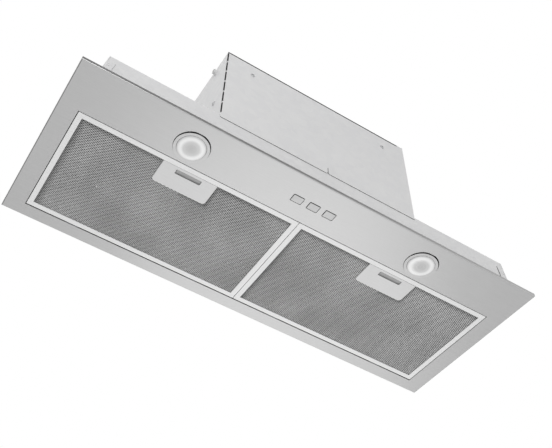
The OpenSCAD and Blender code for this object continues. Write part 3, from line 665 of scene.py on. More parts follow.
def cut_out(mesh: Mesh, cutter: WorkMesh) -> Mesh:
    """Cuts one closed shape out of another.

    Args:
        mesh: The mesh to cut.
        cutter: The shape to take away, freed here.

    Returns:
        The cut mesh.
    """
    knife_mesh = closed(cutter, "knife")
    knife, blank = placed("knife", knife_mesh), placed("blank", mesh)
    change = blank.modifiers.new("cut", "BOOLEAN")
    change.operation = "DIFFERENCE"
    change.solver = "EXACT"
    change.object = knife
    result = evaluated(blank)
    for made in (blank, knife):
        bpy.data.objects.remove(made)
    bpy.data.meshes.remove(knife_mesh)
    return result


class Growth(Net):
    """A Geometry Nodes tree that grows a mesh from a geometry, some values and a material."""

    def __init__(self, name: str, floats: Sequence[str], **others: str) -> None:
        """Starts the tree.

        Args:
            name: The tree's name.
            floats: The names of its plain values.
            others: The socket types of its other inputs, by name.
        """
        super().__init__(bpy.data.node_groups.new(name, "GeometryNodeTree"))
        sockets = {"Geometry": "Geometry", **dict.fromkeys(floats, "Float"), **others, "Finish": "Material"}
        for key, kind in sockets.items():
            self.tree.interface.new_socket(name=key, in_out="INPUT", socket_type="NodeSocket" + kind)
        self.tree.interface.new_socket(name="Geometry", in_out="OUTPUT", socket_type="NodeSocketGeometry")
        self.given = self.add("NodeGroupInput").outputs

    def staggered(self, length: Any, pitch: Any, along: str, across: str, shift: Any) -> Any:
        """Lays a line of points at a pitch along one axis, each shifted along another."""
        line = self.out("GeometryNodeMeshLine", {
            "Count": self.calc("FLOOR", self.calc("DIVIDE", length, pitch)),
            "Offset": self.out("ShaderNodeCombineXYZ", {along: pitch})}, mode="OFFSET")
        return self.out("GeometryNodeSetPosition", {
            "Geometry": line, "Offset": self.out("ShaderNodeCombineXYZ", {across: shift})})

    def swept(self, path: Any, outline: Any) -> Any:
        """Sweeps an outline along a path, closed at both ends."""
        return self.out("GeometryNodeCurveToMesh", {
            "Curve": path, "Profile Curve": outline, "Fill Caps": True})

    def end(self, shape: Any) -> "Growth":
        """Ends the tree in real geometry with its material.

        Args:
            shape: What the tree has made.

        Returns:
            The tree itself.
        """
        real = self.out("GeometryNodeRealizeInstances", {"Geometry": shape})
        painted = self.out("GeometryNodeSetMaterial", {"Geometry": real, "Material": self.given["Finish"]})
        self.add("NodeGroupOutput", {"Geometry": painted})
        return self

    def grow(self, name: str, values: dict[str, Any], seed: Mesh | None = None) -> Mesh:
        """Runs the tree.

        Args:
            name: The result's name.
            values: The tree's inputs, by name.
            seed: The mesh that the tree starts from, if it starts from one.

        Returns:
            The result as a plain mesh.
        """
        carrier = placed(name, seed or bpy.data.meshes.new(name + "_seed"))
        change = carrier.modifiers.new("grow", "NODES")
        change.node_group = self.tree
        for item in self.tree.interface.items_tree:
            if item.in_out == "INPUT" and item.name in values:
                change[item.identifier] = values[item.name]
        mesh = evaluated(carrier)
        mesh.name = name
        carrier.modifiers.clear()
        bpy.data.objects.remove(carrier)
        return mesh


def expanded_mesh() -> Growth:
    """Builds the tree of an expanded metal sheet: zigzag strands that meet at their bends.

    Returns:
        The tree, with the sheet's size, its diamond and its strand as inputs.
    """
    net = Growth("expanded_mesh", (
        "Width", "Depth", "Diamond length", "Diamond height", "Strand width", "Strand thickness",
        "Strand lean"))
    given = net.given
    half = net.calc("MULTIPLY", given["Diamond length"], 0.5)
    rise = net.calc("MULTIPLY", given["Diamond height"], 0.25)
    odd = net.calc("MODULO", net.out("GeometryNodeInputIndex"), 2.0)
    bend = net.calc("MULTIPLY", net.calc("MULTIPLY_ADD", odd, 2.0, -1.0), rise)
    path = net.out("GeometryNodeMeshToCurve", {"Mesh": net.staggered(given["Width"], half, "X", "Y", bend)})
    path = net.out("GeometryNodeSetCurveNormal", {"Curve": path}, mode="Z_UP")
    path = net.out("GeometryNodeSetCurveTilt", {"Curve": path, "Tilt": given["Strand lean"]})
    outline = net.out("GeometryNodeCurvePrimitiveQuadrilateral", {
        "Width": given["Strand width"], "Height": given["Strand thickness"]})
    pitch = net.calc("MULTIPLY", rise, 2.0)
    rows = net.staggered(given["Depth"], pitch, "Y", "X", net.calc("MULTIPLY", odd, half))
    return net.end(net.out("GeometryNodeInstanceOnPoints", {
        "Points": rows, "Instance": net.swept(path, outline)}))


def compression_spring() -> Growth:
    """Builds the tree of a compression spring that lies along Y.

    Returns:
        The tree, with the spring's place, length, radius, turns and wire as inputs.
    """
    net = Growth("compression_spring", ("Length", "Radius", "Turns", "Wire radius"), Start="Vector")
    given = net.given
    coil = net.out("GeometryNodeCurveSpiral", {
        "Resolution": 16, "Rotations": given["Turns"], "Start Radius": given["Radius"],
        "End Radius": given["Radius"], "Height": given["Length"]})
    laid = net.out("GeometryNodeTransform", {
        "Geometry": coil, "Rotation": (-math.pi / 2, 0, 0), "Translation": given["Start"]})
    wire = net.out("GeometryNodeCurvePrimitiveCircle", {"Resolution": 6, "Radius": given["Wire radius"]})
    return net.end(net.swept(laid, wire))


def scattered() -> Growth:
    """Builds the tree that sets a fastener at each point, turned to face that point's direction.

    Returns:
        The tree, with the fastener and its finish as inputs.
    """
    net = Growth("set_fasteners", (), Fastener="Object")
    shape = net.out("GeometryNodeObjectInfo", {"Object": net.given["Fastener"]}, "Geometry")
    facing = net.out("GeometryNodeInputNamedAttribute", {"Name": "facing"}, "Attribute",
                     data_type="FLOAT_VECTOR")
    turn = net.out("FunctionNodeAlignRotationToVector", {"Vector": facing}, axis="Z")
    return net.end(net.out("GeometryNodeInstanceOnPoints", {
        "Points": net.given["Geometry"], "Instance": shape, "Rotation": turn}))


def set_fasteners(
    name: str, shape: Mesh, places: Sequence[tuple[Triple, Triple]], finish: Finish, node: str,
) -> None:
    """Sets a fastener at each place and makes them one piece of the housing.

    Args:
        name: The piece's name.
        shape: One fastener, with its head's seat at the origin and its head along +Z.
        places: The seat of each in millimetres, with the direction its head faces.
        finish: What they are made of.
        node: The CAD node that they stand for.
    """
    seed = bpy.data.meshes.new(name + "_places")
    seed.from_pydata([[c * MM for c in place] for place, _ in places], [], [])
    facing = seed.attributes.new("facing", "FLOAT_VECTOR", "POINT")
    for item, (_, way) in zip(facing.data, places):
        item.vector = way
    pattern = placed(name + "_pattern", shape)
    mesh = scattered().grow(name, {"Fastener": pattern, "Finish": finish.material()}, seed)
    bpy.data.objects.remove(pattern)
    new_piece(name, smooth_by_angle(mesh, 30), finish, "housing", node)


@dataclass
class Casing:
    """The face panel, the pan and the fan box, with their screws and rivets."""

    fold_mm: float = 1.1
    punched_mm: float = 0.2
    fold_angle: float = 1.2
    burnished_way: float = 0.25
    panel_half_mm: Pair = (359.9, 136.9)
    panel_face_mm: float = -5.4
    bent_end_mm: float = 358.8
    deburr_mm: float = 0.15
    lap_mm: Triple = (326.0, -118.9, 127.9)
    box_half_mm: float = 163.5
    box_front_mm: float = -119.8
    box_top_mm: float = 229.5
    slot_mm: Triple = (1.5, 1.9, 24.3)
    slot_pitch_mm: float = 27.3
    slot_count: int = 6
    slot_lowest_mm: float = 64.8
    seam_mm: Triple = (152.0, 0.3, 3.6)
    notch_mm: Triple = (4.0, 0.5, 3.6)
    slit_place_mm: Pair = (11.5, 56.0)
    slit_mm: Triple = (0.9, 0.5, 11.0)
    past_mm: float = 1.0
    near_mm: float = 0.05
    gap_mm: float = 0.01
    lip_mm: float = 0.9
    slit_reach_mm: float = 1.6
    steep: float = 0.7
    level: float = 0.9
    sideways: float = 0.5
    screw_head_mm: float = 3.4
    recess_mm: Triple = (1.9, 0.42, 0.7)
    rivet_head_mm: float = 3.0
    cover_screw_mm: Pair = (119.5, 199.8)
    side_screw_mm: Pair = (-92.0, 121.0)
    collar_ring_mm: Triple = (79.5, 4.5, 230.7)
    motor_ring_mm: Pair = (57.7, -60.0)
    pan_walls_mm: Pair = (-119.8, 128.8)
    pan_end_mm: Triple = (337.0, 10.0, 63.5)
    pan_foot_mm: float = -4.5
    rivet_mm: Pair = (3.6, 37.5)

    def build(self) -> None:
        """Makes every piece of the casing."""
        self.panel()
        for node in ("pan_front_wall", "pan_back_wall", "pan_left_end", "pan_right_end", "pan_deck",
                     "box_right_side", "box_back", "box_top"):
            sheet = new_piece(node + "_sheet", eased(node, self.deburr_mm), GALVANISED, "housing", node)
            if node.endswith("end"):
                # The lap flanges' cut edges are painted near black: the bare cut steel, darkened further as
                # painted shade.
                paint_faces(sheet.data, SHEARED_EDGE_AND_SHADE, self.is_lap_edge)
        self.slotted("box_front_cover", self.slots() + self.cover_cuts(), self.is_cover_cut)
        self.slotted("box_left_side", self.slots(), self.is_side_cut)
        dress_node("cover_stiffener", ZINC_PLATED)
        self.fasteners()

    def panel(self) -> None:
        """Rounds the face panel's outer folds widely and its punched edges finely."""
        work = merged_copy("face_panel")
        round_edges(work, self.fold_mm, 3, self.fold_angle, lambda edge: all(
            v.co.z < self.panel_face_mm * MM and any(
                abs(c) > half * MM for c, half in zip(v.co.xy, self.panel_half_mm)) for v in edge.verts))
        round_edges(work, self.punched_mm, 2, self.fold_angle)
        mesh = smooth_by_angle(closed(work, "panel"), flat_along="XYZ")
        new_piece("panel_brushed", mesh, BRUSHED_STAINLESS, "housing", "face_panel")
        # The bent ends' outer faces take painted shade: a dark matt grey.
        paint_faces(mesh, SHADED_FOLD_STAINLESS, lambda at, way: (
            abs(at.x) > self.bent_end_mm and abs(way.x) > self.burnished_way))

    def slotted(self, node: str, cuts: list[Cut], is_cut: Callable[[Vector, Vector], bool]) -> None:
        """Cuts a side of the fan box from ahead of its front and paints the cuts' walls near black as
        painted shade.

        Args:
            node: The side's CAD node.
            cuts: The cuts in it.
            is_cut: Says yes to the faces that the cuts bare.
        """
        knife = bmesh.new()
        for left, right, deep, low, high in cuts:
            block(knife, (left, self.box_front_mm - self.past_mm, low),
                  (right, self.box_front_mm + deep, high))
        mesh = smooth_by_angle(cut_out(eased(node, self.deburr_mm), knife), flat_along="XYZ")
        new_piece(node + "_slotted", mesh, GALVANISED, "housing", node)
        # The cuts' walls are painted near black: painted shade in the slots, notch, seam and slit, with the
        # bare steel of the cut edges.
        paint_faces(mesh, SHEARED_EDGE_AND_SHADE, is_cut)

    def slots(self) -> list[Cut]:
        """Lists the slots along the fold between the front cover and the left side.

        Returns:
            One cut for each slot.
        """
        wide, deep, high = self.slot_mm
        lows = [self.slot_lowest_mm + i * self.slot_pitch_mm for i in range(self.slot_count)]
        edge = -self.box_half_mm
        return [(edge - self.past_mm, edge + wide, deep, low, low + high) for low in lows]

    def cover_cuts(self) -> list[Cut]:
        """Lists the notch and the seam at the cover's top and the short slit at its bottom.

        Returns:
            One cut for each.
        """
        edge, top, over = -self.box_half_mm, self.box_top_mm, self.box_top_mm + self.past_mm
        wide, deep, high = self.notch_mm
        end, seam_deep, seam_high = self.seam_mm
        middle, low = self.slit_place_mm
        slit_wide, slit_deep, slit_high = self.slit_mm
        return [
            (edge - self.past_mm, edge + wide, deep, top - high, over),
            (edge + wide + self.gap_mm, end, seam_deep, top - seam_high, over),
            (middle - slit_wide / 2, middle + slit_wide / 2, slit_deep, low, low + slit_high)]

    def is_lap_edge(self, at: Vector, way: Vector) -> bool:
        """Picks the upright cut edges of the pan ends' lap flanges."""
        end, front, back = self.lap_mm
        return abs(way.x) > self.steep and not front < at.y < back and abs(at.x) < end

    def is_cover_cut(self, at: Vector, way: Vector) -> bool:
        """Picks the walls of the slots, the slit and the seam, and the cover's lower cut edge.

        Args:
            at: The face's centre in millimetres.
            way: Its normal.

        Returns:
            Whether the face is one of them.
        """
        if at.y > self.box_front_mm + self.near_mm and abs(at.x) < self.box_half_mm - self.near_mm:
            if at.x < self.slot_mm[0] - self.box_half_mm + self.near_mm and abs(way.z) < self.level:
                return True
            in_seam = at.z > self.box_top_mm - self.notch_mm[2] - self.near_mm
            in_slit = abs(at.x - self.slit_place_mm[0]) < self.slit_reach_mm
            if way.y < self.sideways and (in_seam or in_slit):
                return True
        return way.z < -self.steep and at.y < self.box_front_mm + self.lip_mm

    def is_side_cut(self, at: Vector, way: Vector) -> bool:
        """Picks the walls that the slots leave in the left side's front edge."""
        return at.y < self.box_front_mm + self.slot_mm[1] + self.near_mm and abs(way.z) < self.level and (
            min(way.x, way.y) < -self.sideways) and at.x > self.near_mm - self.box_half_mm

    def screw_shape(self) -> Mesh:
        """Makes a pan-head screw with a cross recess.

        Returns:
            The screw, with its head's seat at the origin.
        """
        r = self.screw_head_mm
        head = turned([(0, -4.0), (1.3, -3.9), (1.9, -3.2), (1.9, 0), (r, 0), (r, 0.5), (r * 0.93, 1.05),
                       (r * 0.7, 1.5), (r * 0.35, 1.75), (0, 1.8)], 28)
        long_side, short_side, floor = self.recess_mm
        for x, y in ((long_side, short_side), (short_side, long_side)):
            knife = bmesh.new()
            block(knife, (-x, -y, floor), (x, y, r))
            head = cut_out(head, knife)
        return head

    def rivet_shape(self) -> Mesh:
        """Makes a blind rivet with its domed flange and drawn stem."""
        r = self.rivet_head_mm
        return turned([(0, -3.6), (2.0, -3.4), (2.2, -2.6), (2.0, -1.8), (1.6, -1.6), (1.6, 0), (r, 0),
                       (r * 0.97, 0.35), (r * 0.8, 0.75), (r * 0.5, 1.0), (r * 0.36, 1.0), (r * 0.33, 0.55),
                       (0, 0.5)], 28)

    def fasteners(self) -> None:
        """Sets the screws and the corner rivets."""
        across, height = self.cover_screw_mm
        screws: list[tuple[Triple, Triple]] = []
        for s in (-1, 1):
            screws.append(((s * across, self.box_front_mm, height), (0, -1, 0)))
            screws.append(((s * self.box_half_mm, *self.side_screw_mm), (s, 0, 0)))
        away, middle, height = self.collar_ring_mm
        for a in map(math.radians, (45, 135, 225, 315)):
            screws.append(((away * math.cos(a), middle + away * math.sin(a), height), (0, 0, 1)))
        (away, x), (y, z) = self.motor_ring_mm, BLOWER_AXIS_MM
        for a in map(math.radians, (90, 210, 330)):
            screws.append(((x, y + away * math.cos(a), z + away * math.sin(a)), (-1, 0, 0)))
        set_fasteners("case_screws_cross", self.screw_shape(), screws, ZINC_PLATED, "case_screws")
        half, lean, tall = self.pan_end_mm
        inset, z = self.rivet_mm
        x = half - lean * (z - self.pan_foot_mm) / tall - inset
        rivets = [((s * x, y, z), (0, w, 0)) for s in (-1, 1) for y, w in zip(self.pan_walls_mm, (-1, 1))]
        set_fasteners("corner_rivets_domed", self.rivet_shape(), rivets, GALVANISED, "corner_rivets")


@dataclass
class AirPath:
    """The duct collar with its damper, and the blower with its motor."""

    edge_mm: float = 0.25
    motor_end_mm: float = -86.0
    motor_profile_mm: tuple[Pair, ...] = (
        (0, 0), (12, 0), (12, 1.5), (22, 2.2), (27.5, 4.5), (29.4, 8), (29.4, 14), (30, 14.6), (30, 17.4),
        (29.4, 18), (29.4, 42), (30, 42.6), (30, 45.4), (29.4, 46), (29.4, 52), (27.5, 55.5), (22, 57.8),
        (8, 59.4), (8, 66), (4.1, 66), (4.1, 56), (0, 56))

    def build(self) -> None:
        """Makes the collar, the damper and the blower, with the motor's rolled bands and end bells."""
        new_piece("duct_collar_moulded", eased("duct_collar", self.edge_mm, flat_along="Z"), BLACK_ABS,
                  "housing", "duct_collar")
        for side in Side:
            node = f"damper_flap_{side.word}"
            new_piece(node + "_moulded", eased(node, self.edge_mm), BLACK_ABS, f"damper_{side.word}", node)
        for node, finish in (
                ("damper_rod", GROUND_STEEL), ("blower_left_cheek", GALVANISED),
                ("blower_right_cheek", GALVANISED), ("blower_band", GALVANISED),
                ("impeller", MILL_ALUMINIUM), ("motor_shaft", GROUND_STEEL),
                ("motor_bracket", ZINC_PLATED), ("run_capacitor", CAPACITOR_CASE)):
            dress_node(node, finish)
        mesh = along_x(turned(self.motor_profile_mm, 56), (self.motor_end_mm, *BLOWER_AXIS_MM))
        new_piece("motor_shell", smooth_by_angle(mesh, 30), MOTOR_PAINT, "housing", "motor")


@dataclass
class Electrics:
    """The junction box and gland, and the switches with their buttons."""

    button_edge_mm: float = 0.3
    button_play_mm: float = 0.5
    crown_mm: float = -3.5
    crown_way: float = -0.9
    gland_mm: Triple = (-163.5, -84.0, 218.7)
    gland_profile_mm: tuple[Pair, ...] = (
        (3.4, -5.2), (4.0, -5.2), (4.4, -4.8), (4.4, -4.3), (4.1, -4.0), (4.4, -3.7), (4.4, -3.1),
        (4.1, -2.8), (4.4, -2.5), (4.4, -1.9), (5.4, -1.6), (5.8, -1.3), (5.8, 0), (4.6, 0), (4.6, 2.0),
        (6.8, 2.0), (6.8, 5.5), (3.4, 5.5), (3.4, -5.2))

    def build(self) -> None:
        """Makes the electrical pieces."""
        for node in ("junction_box", "junction_cover", "switch_bodies"):
            dress_node(node, BLACK_ABS)
        dress_node("switch_bracket", ZINC_PLATED)
        for button in ("button_lamp", "button_slow", "button_fast"):
            self.button(button)
        self.gland()

    def button(self, node: str) -> None:
        """Draws a button's crown in from the panel's hole and paints its skirt black as painted shade in
        the gap.

        Args:
            node: The button's CAD node, which is its body too.
        """
        mesh = eased(node, self.button_edge_mm, 3)
        crown = [v for v in mesh.vertices if v.co.z < self.crown_mm * MM]
        middle = sum((v.co for v in crown), Vector()) / len(crown)
        for vertex in crown:
            for i in range(2):
                vertex.co[i] -= math.copysign(self.button_play_mm * MM, vertex.co[i] - middle[i])
        new_piece(node + "_cap", mesh, BUTTON_ABS, node, node)
        # The skirt and its rounding are painted black: painted shade for the gap round the cap.
        paint_faces(mesh, BLACK_ABS, lambda at, way: way.z > self.crown_way)

    def gland(self) -> None:
        """Turns the cable gland with grip ribs on its nose."""
        mesh = along_x(turned(self.gland_profile_mm, 36), self.gland_mm)
        new_piece("cable_gland_ribbed", smooth_by_angle(mesh, 30), GLAND_NYLON, "housing", "cable_gland")


@dataclass
class Lamp:
    """One of the two round lamps."""

    side: Side
    across_mm: float = 186.0
    back_mm: float = -94.0
    face_mm: float = -5.5
    lens_mm: float = 19.6
    lens_steps: int = 44
    proud_mm: float = 3.0
    edge_mm: float = 1.4
    inside_mm: float = 1.6
    rings: int = 4
    ring_mm: float = 0.14
    body_edge_mm: float = 0.4
    bezel_proud_mm: float = 0.6
    lip_mm: float = -4.9
    lip_share: float = 1.018
    shade_mm: float = -6.0
    shade_way: float = -0.3
    play_mm: Pair = (0.15, 0.15)

    def build(self) -> None:
        """Makes the lens and dresses the lamp's other pieces."""
        word = f"lamp_{self.side.word}"
        ring = new_piece(word + "_ring", self.body(word + "_body"), LAMP_RING, "housing", word + "_body")
        # The ring's front skirt is painted black: painted shade for the gap round the bezel.
        paint_faces(ring.data, BLACK_ABS, lambda at, way: at.z > self.shade_mm and way.y < self.shade_way)
        dress_node(word + "_socket", STEATITE)
        dress_node(word + "_strap", ZINC_PLATED)
        new_piece(word + "_glass", self.lens(), LENS_GLASS, "housing", word + "_lens")

    def body(self, node: str) -> Mesh:
        """Copies the lamp's body, with its bezel's lip drawn a little proud of the panel.

        Args:
            node: The body's CAD node.

        Returns:
            The new mesh.
        """
        mesh = eased(node, self.body_edge_mm, flat_along="Z")
        middle = self.side.value * self.across_mm * MM
        for vertex in mesh.vertices:
            if vertex.co.z < self.lip_mm * MM:
                vertex.co.z -= self.bezel_proud_mm * MM
                vertex.co.x = middle + (vertex.co.x - middle) * self.lip_share
            vertex.co.x += self.play_mm[0] * MM
            vertex.co.y += self.play_mm[1] * MM
        return mesh

    def lens(self) -> Mesh:
        """Turns the domed lens with its pressed rings, and stores each point's distance from its centre.

        Returns:
            The new mesh.
        """
        profile = [(0.0, -self.proud_mm)]
        for i in range(1, self.lens_steps + 1):
            share = i / self.lens_steps
            dome = -self.edge_mm - (self.proud_mm - self.edge_mm) * math.sqrt(max(0.0, 1 - share ** 2))
            wave = self.ring_mm * 0.5 * (1 - math.cos(2 * math.pi * self.rings * share)) * (1 - share ** 6)
            profile.append((share * self.lens_mm, dome + wave))
        profile += [(self.lens_mm, self.inside_mm), (0.0, self.inside_mm)]
        mesh = turned(profile, 72)
        store(mesh, "ring_mm", [vertex.co.xy.length / MM for vertex in mesh.vertices])
        x, y = self.side.value * self.across_mm + self.play_mm[0], self.back_mm + self.play_mm[1]
        mesh.transform(Matrix.Translation((x * MM, y * MM, self.face_mm * MM)))
        return smooth_by_angle(mesh, 35)


@dataclass
class Filter:
    """One of the two mesh filters, with its latch and rear tabs."""

    side: Side
    near_mm: float = 0.5
    far_mm: float = 331.8
    front_mm: float = -64.8
    back_mm: float = 114.0
    wall_mm: float = 0.8
    frame_edge_mm: float = 0.35
    pressing_edge_mm: float = 0.2
    diamond_mm: Pair = (5.63, 2.83)
    strand_mm: Pair = (1.05, 0.3)
    strand_room_mm: float = 1.5
    layer_heights_mm: tuple[float, ...] = (-4.0, -1.5, 1.45)
    lean_degrees: float = 24.0
    stretch_share: float = 1.03
    slack_mm: float = 1.6
    slack_depth_share: float = 0.6
    swirl_turns: Triple = (0.8, 1.1, 0.3)
    bar_mm: float = 7.5
    plate_mm: Pair = (40.5, -19.3)
    dip_shares: Pair = (0.9, 1.4)
    far_off_mm: float = 99.0
    pocket_mm: Pair = (28.3, -22.5)
    latch_mm: float = 166.15
    plate_front_mm: float = -57.0
    plate_gap_mm: float = 0.45
    spring_mm: Pair = (-40.7, -23.5)
    spring_height_mm: float = -2.0
    coil_mm: Pair = (1.8, 0.32)
    coil_turns: float = 8.0
    coil_room_mm: float = 0.5

    @property
    def stem(self) -> str:
        """The filter's body, with which its nodes' and pieces' names begin."""
        return f"filter_{self.side.word}"

    @property
    def latch(self) -> str:
        """The latch slider's body, with which the latch's names begin."""
        return f"latch_{self.side.word}"

    @property
    def left_mm(self) -> float:
        """The left end of the filter."""
        return min(self.side.value * self.near_mm, self.side.value * self.far_mm)

    def build(self) -> None:
        """Makes the frame, the mesh and the latch."""
        new_piece(self.stem + "_bars", eased(self.stem + "_frame", self.frame_edge_mm, 3), SATIN_ALUMINIUM,
                  self.stem, self.stem + "_frame")
        plate = eased(self.latch + "_plate", self.pressing_edge_mm)
        for vertex in plate.vertices:
            if vertex.co.y < self.plate_front_mm * MM:
                vertex.co.y += self.plate_gap_mm * MM
        new_piece(self.latch + "_pressing", plate, PRESSED_ALUMINIUM, self.stem, self.latch + "_plate")
        new_piece(self.latch + "_finger", eased(self.latch + "_slider", self.pressing_edge_mm), SLIDER_ABS,
                  self.latch, self.latch + "_slider")
        dress_node(self.latch + "_housing", SATIN_ALUMINIUM)
        dress_node(self.stem + "_tabs", SPRING_STEEL)
        dress_node(self.latch + "_leaf", SPRING_STEEL)
        self.spring()
        self.mesh_layers()

    def spring(self) -> None:
        """Winds the latch spring."""
        word, (start, end) = self.side.word, self.spring_mm
        x = self.side.value * self.latch_mm
        mesh = compression_spring().grow(self.latch + "_coil", {
            "Start": [x * MM, (start + self.coil_room_mm) * MM, self.spring_height_mm * MM],
            "Length": (end - start - 2 * self.coil_room_mm) * MM, "Radius": self.coil_mm[0] * MM,
            "Turns": self.coil_turns, "Wire radius": self.coil_mm[1] * MM,
            "Finish": SPRING_STEEL.material()})
        coil = new_piece(self.latch + "_coil", smooth_by_angle(mesh, 60), SPRING_STEEL, self.stem,
                         self.latch + "_spring")
        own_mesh(coil)

    def mesh_layers(self) -> None:
        """Lays the layers of expanded mesh: the second a little stretched and slack, the third turned."""
        net = expanded_mesh()
        inset = self.wall_mm + self.strand_room_mm
        low = self.left_mm + inset
        size = [self.far_mm - self.near_mm - 2 * inset, self.back_mm - self.front_mm - 2 * inset]
        for i, height in enumerate(self.layer_heights_mm):
            across = i == 2
            stretch = self.stretch_share if i == 1 else 1.0
            width, depth = reversed(size) if across else size
            # The inner layers take the dark grey of painted shade.
            finish = SHADED_INNER_ALUMINIUM if i else EXPANDED_ALUMINIUM
            name = f"{self.stem}_layer_{i + 1}"
            mesh = net.grow(name, {
                "Width": width * MM, "Depth": depth * MM,
                "Diamond length": self.diamond_mm[0] * MM * stretch,
                "Diamond height": self.diamond_mm[1] * MM * stretch,
                "Strand width": self.strand_mm[0] * MM, "Strand thickness": self.strand_mm[1] * MM,
                "Strand lean": math.radians(self.lean_degrees), "Finish": finish.material()})
            corner = Vector((low + across * size[0], self.front_mm + inset, height)) * MM
            mesh.transform(Matrix.Translation(corner) @ Matrix.Rotation(across * math.pi / 2, 4, "Z"))
            if i == 1:
                self.slacken(mesh, low, size)
            self.open_pocket(mesh)
            self.measure_edges(mesh, low)
            mesh.shade_flat()
            new_piece(name, mesh, finish, self.stem, *([] if i else [self.stem + "_mesh"]))

    def slacken(self, mesh: Mesh, low: float, size: Sequence[float]) -> None:
        """Moves a layer's strands a little about in their plane, as a loosely laid sheet lies.

        Args:
            mesh: The layer's mesh.
            low: The sheet's left end in millimetres.
            size: The sheet's width and depth in millimetres.
        """
        along, back, start = self.swirl_turns
        for vertex in mesh.vertices:
            u = (vertex.co.x / MM - low) / size[0]
            v = (vertex.co.y / MM - self.front_mm) / size[1]
            hold = max(0.0, math.sin(math.pi * min(1.0, u)) * math.sin(math.pi * min(1.0, v)))
            swirl = 2 * math.pi * (along * u + back * v * v + start * self.side.value)
            vertex.co.x += self.slack_mm * hold * math.sin(swirl) * MM
            vertex.co.y += self.slack_mm * hold * self.slack_depth_share * math.cos(swirl * along) * MM

    def measure_edges(self, mesh: Mesh, low: float) -> None:
        """Stores each point's distance along the sheet, and from the bars and latch plate that shade it.

        Args:
            mesh: The layer's mesh.
            low: The sheet's left end in millimetres.
        """
        left = self.left_mm + self.bar_mm
        latch = self.side.value * self.latch_mm
        side_share, plate_share = self.dip_shares
        away, along = [], []
        for vertex in mesh.vertices:
            x, y = vertex.co.x / MM, vertex.co.y / MM
            past_plate = max(x - latch - self.plate_mm[0], y - self.plate_mm[1]) * plate_share
            away.append(max(0.0, min((x - left) * side_share, y - self.front_mm - self.bar_mm,
                                     self.far_off_mm if x < latch else past_plate)))
            along.append(x - low)
        store(mesh, "edge_mm", away)
        store(mesh, "along_mm", along)

    def open_pocket(self, mesh: Mesh) -> None:
        """Clears a layer where the latch's housing sits.

        Args:
            mesh: The layer's mesh.
        """
        half, back = self.pocket_mm
        middle = self.side.value * self.latch_mm
        work = bmesh.new()
        work.from_mesh(mesh)
        inside = [v for v in work.verts if abs(v.co.x / MM - middle) < half and v.co.y / MM < back]
        bmesh.ops.delete(work, geom=inside, context="VERTS")
        work.to_mesh(mesh)
        work.free()


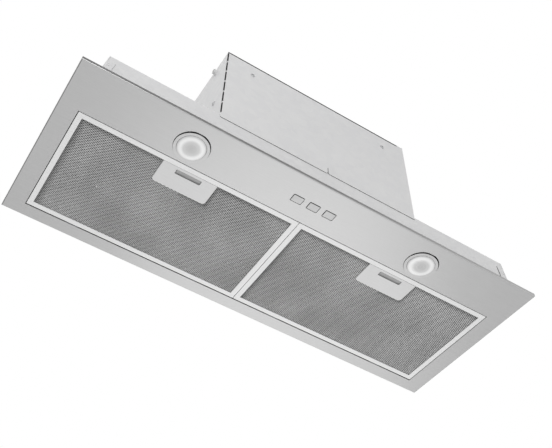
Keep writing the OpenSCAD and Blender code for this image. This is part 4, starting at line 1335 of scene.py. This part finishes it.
@dataclass
class Studio:
    """The floor, the lights and the camera."""

    focal_px: float = 800.26
    centre_px: Pair = (235.0, 180.0)
    picture_px: tuple[int, int] = (552, 448)
    place: Triple = (-0.40584, -0.66430, -0.83474)
    right: Triple = (0.856078, -0.513491, 0.058809)
    down: Triple = (0.435751, 0.655878, -0.616397)
    ahead: Triple = (0.277943, 0.553310, 0.785237)
    sensor_mm: float = 36.0
    far_m: float = 50.0
    floor_height: float = -1.5
    floor_half: float = 8.0
    surround: float = 0.75
    flag: Triple = (-0.1, -0.54, 0.836)
    flag_edges: Pair = (0.62, 0.9)
    flag_dark: float = 0.08
    aim: Triple = (0.0, 0.0, 0.08)

    def build(self) -> None:
        """Sets the scene, with a soft box below so that the panel is brightest at its middle."""
        bpy.context.scene.view_settings.view_transform = "Standard"
        self.camera()
        self.floor()
        self.world()
        self.soft_box("front_left", (-1.0, -1.75, 0.3), size=1.0, power=13.2)
        self.soft_box("above", (0.2, 0.3, 1.9), size=1.4, power=12.0)
        self.soft_box("below", (0.42, 0.68, -0.87), size=0.8, power=1.3)

    def camera(self) -> None:
        """Places the camera where the photograph was taken from."""
        width, height = self.picture_px
        data = bpy.data.cameras.new("camera")
        data.sensor_width = self.sensor_mm
        data.lens = self.focal_px / width * self.sensor_mm
        data.shift_x = (width / 2 - self.centre_px[0]) / width
        data.shift_y = (self.centre_px[1] - height / 2) / width
        data.clip_end = self.far_m
        camera = placed("camera", data)
        turn = Matrix((self.right, [-c for c in self.down], [-c for c in self.ahead])).transposed()
        camera.matrix_world = Matrix.Translation(self.place) @ turn.to_4x4()
        bpy.context.scene.camera = camera

    def floor(self) -> None:
        """Lays the pale floor well below the hood."""
        work = bmesh.new()
        bmesh.ops.create_grid(work, x_segments=1, y_segments=1, size=self.floor_half)
        mesh = closed(work, "floor")
        mesh.transform(Matrix.Translation((0, 0, self.floor_height)))
        floor = placed("floor", mesh)
        paint = bpy.data.materials.new("pale_floor")
        Surface(paint, "ShaderNodeBsdfDiffuse", {"Color": linear("#f2f2f2")})
        mesh.materials.append(paint)

    def world(self) -> None:
        """Gives an even pale surround, white in reflections but for a dark flag high at the front left."""
        world = bpy.data.worlds.new("surround")
        bpy.context.scene.world = world
        world.use_nodes = True
        net = Net(world.node_tree)
        path = net.add("ShaderNodeLightPath").outputs
        way = net.out("ShaderNodeTexCoord", which="Generated")
        near = net.out("ShaderNodeVectorMath", {0: way, 1: self.flag}, "Value", operation="DOT_PRODUCT")
        flag = net.mapped(near, (1.0, self.flag_dark), self.flag_edges, interpolation_type="SMOOTHSTEP")
        soft, gloss, white = (
            net.out("ShaderNodeBackground", {"Color": (1, 1, 1, 1), "Strength": strength})
            for strength in (self.surround, flag, 1.0))
        mirrored = net.out("ShaderNodeMixShader", {0: path["Is Glossy Ray"], 1: soft, 2: gloss})
        mixed = net.out("ShaderNodeMixShader", {0: path["Is Camera Ray"], 1: mirrored, 2: white})
        net.add("ShaderNodeOutputWorld", {"Surface": mixed})

    def soft_box(self, name: str, place: Sequence[float], size: float, power: float) -> None:
        """Adds one square area light aimed at the hood.

        Args:
            name: The light's name.
            place: Where it hangs, in metres.
            size: The length of its side, in metres.
            power: Its power in watts.
        """
        data = bpy.data.lights.new(name, "AREA")
        data.shape = "SQUARE"
        data.size = size
        data.energy = power
        light = placed(name, data)
        aim = Vector(self.aim) - Vector(place)
        light.rotation_euler = aim.to_track_quat("-Z", "Y").to_euler()
        light.location = place
        light.visible_camera = False


def main() -> None:
    """Builds the hood's sub-assemblies in order, then the studio."""
    logging.basicConfig(level=logging.INFO, format="%(message)s")
    Casing().build()
    AirPath().build()
    Electrics().build()
    for side in Side:
        Lamp(side).build()
        Filter(side).build()
    dress_node("filter_keepers", ZINC_PLATED)
    Studio().build()


if __name__ == "__main__":
    main()
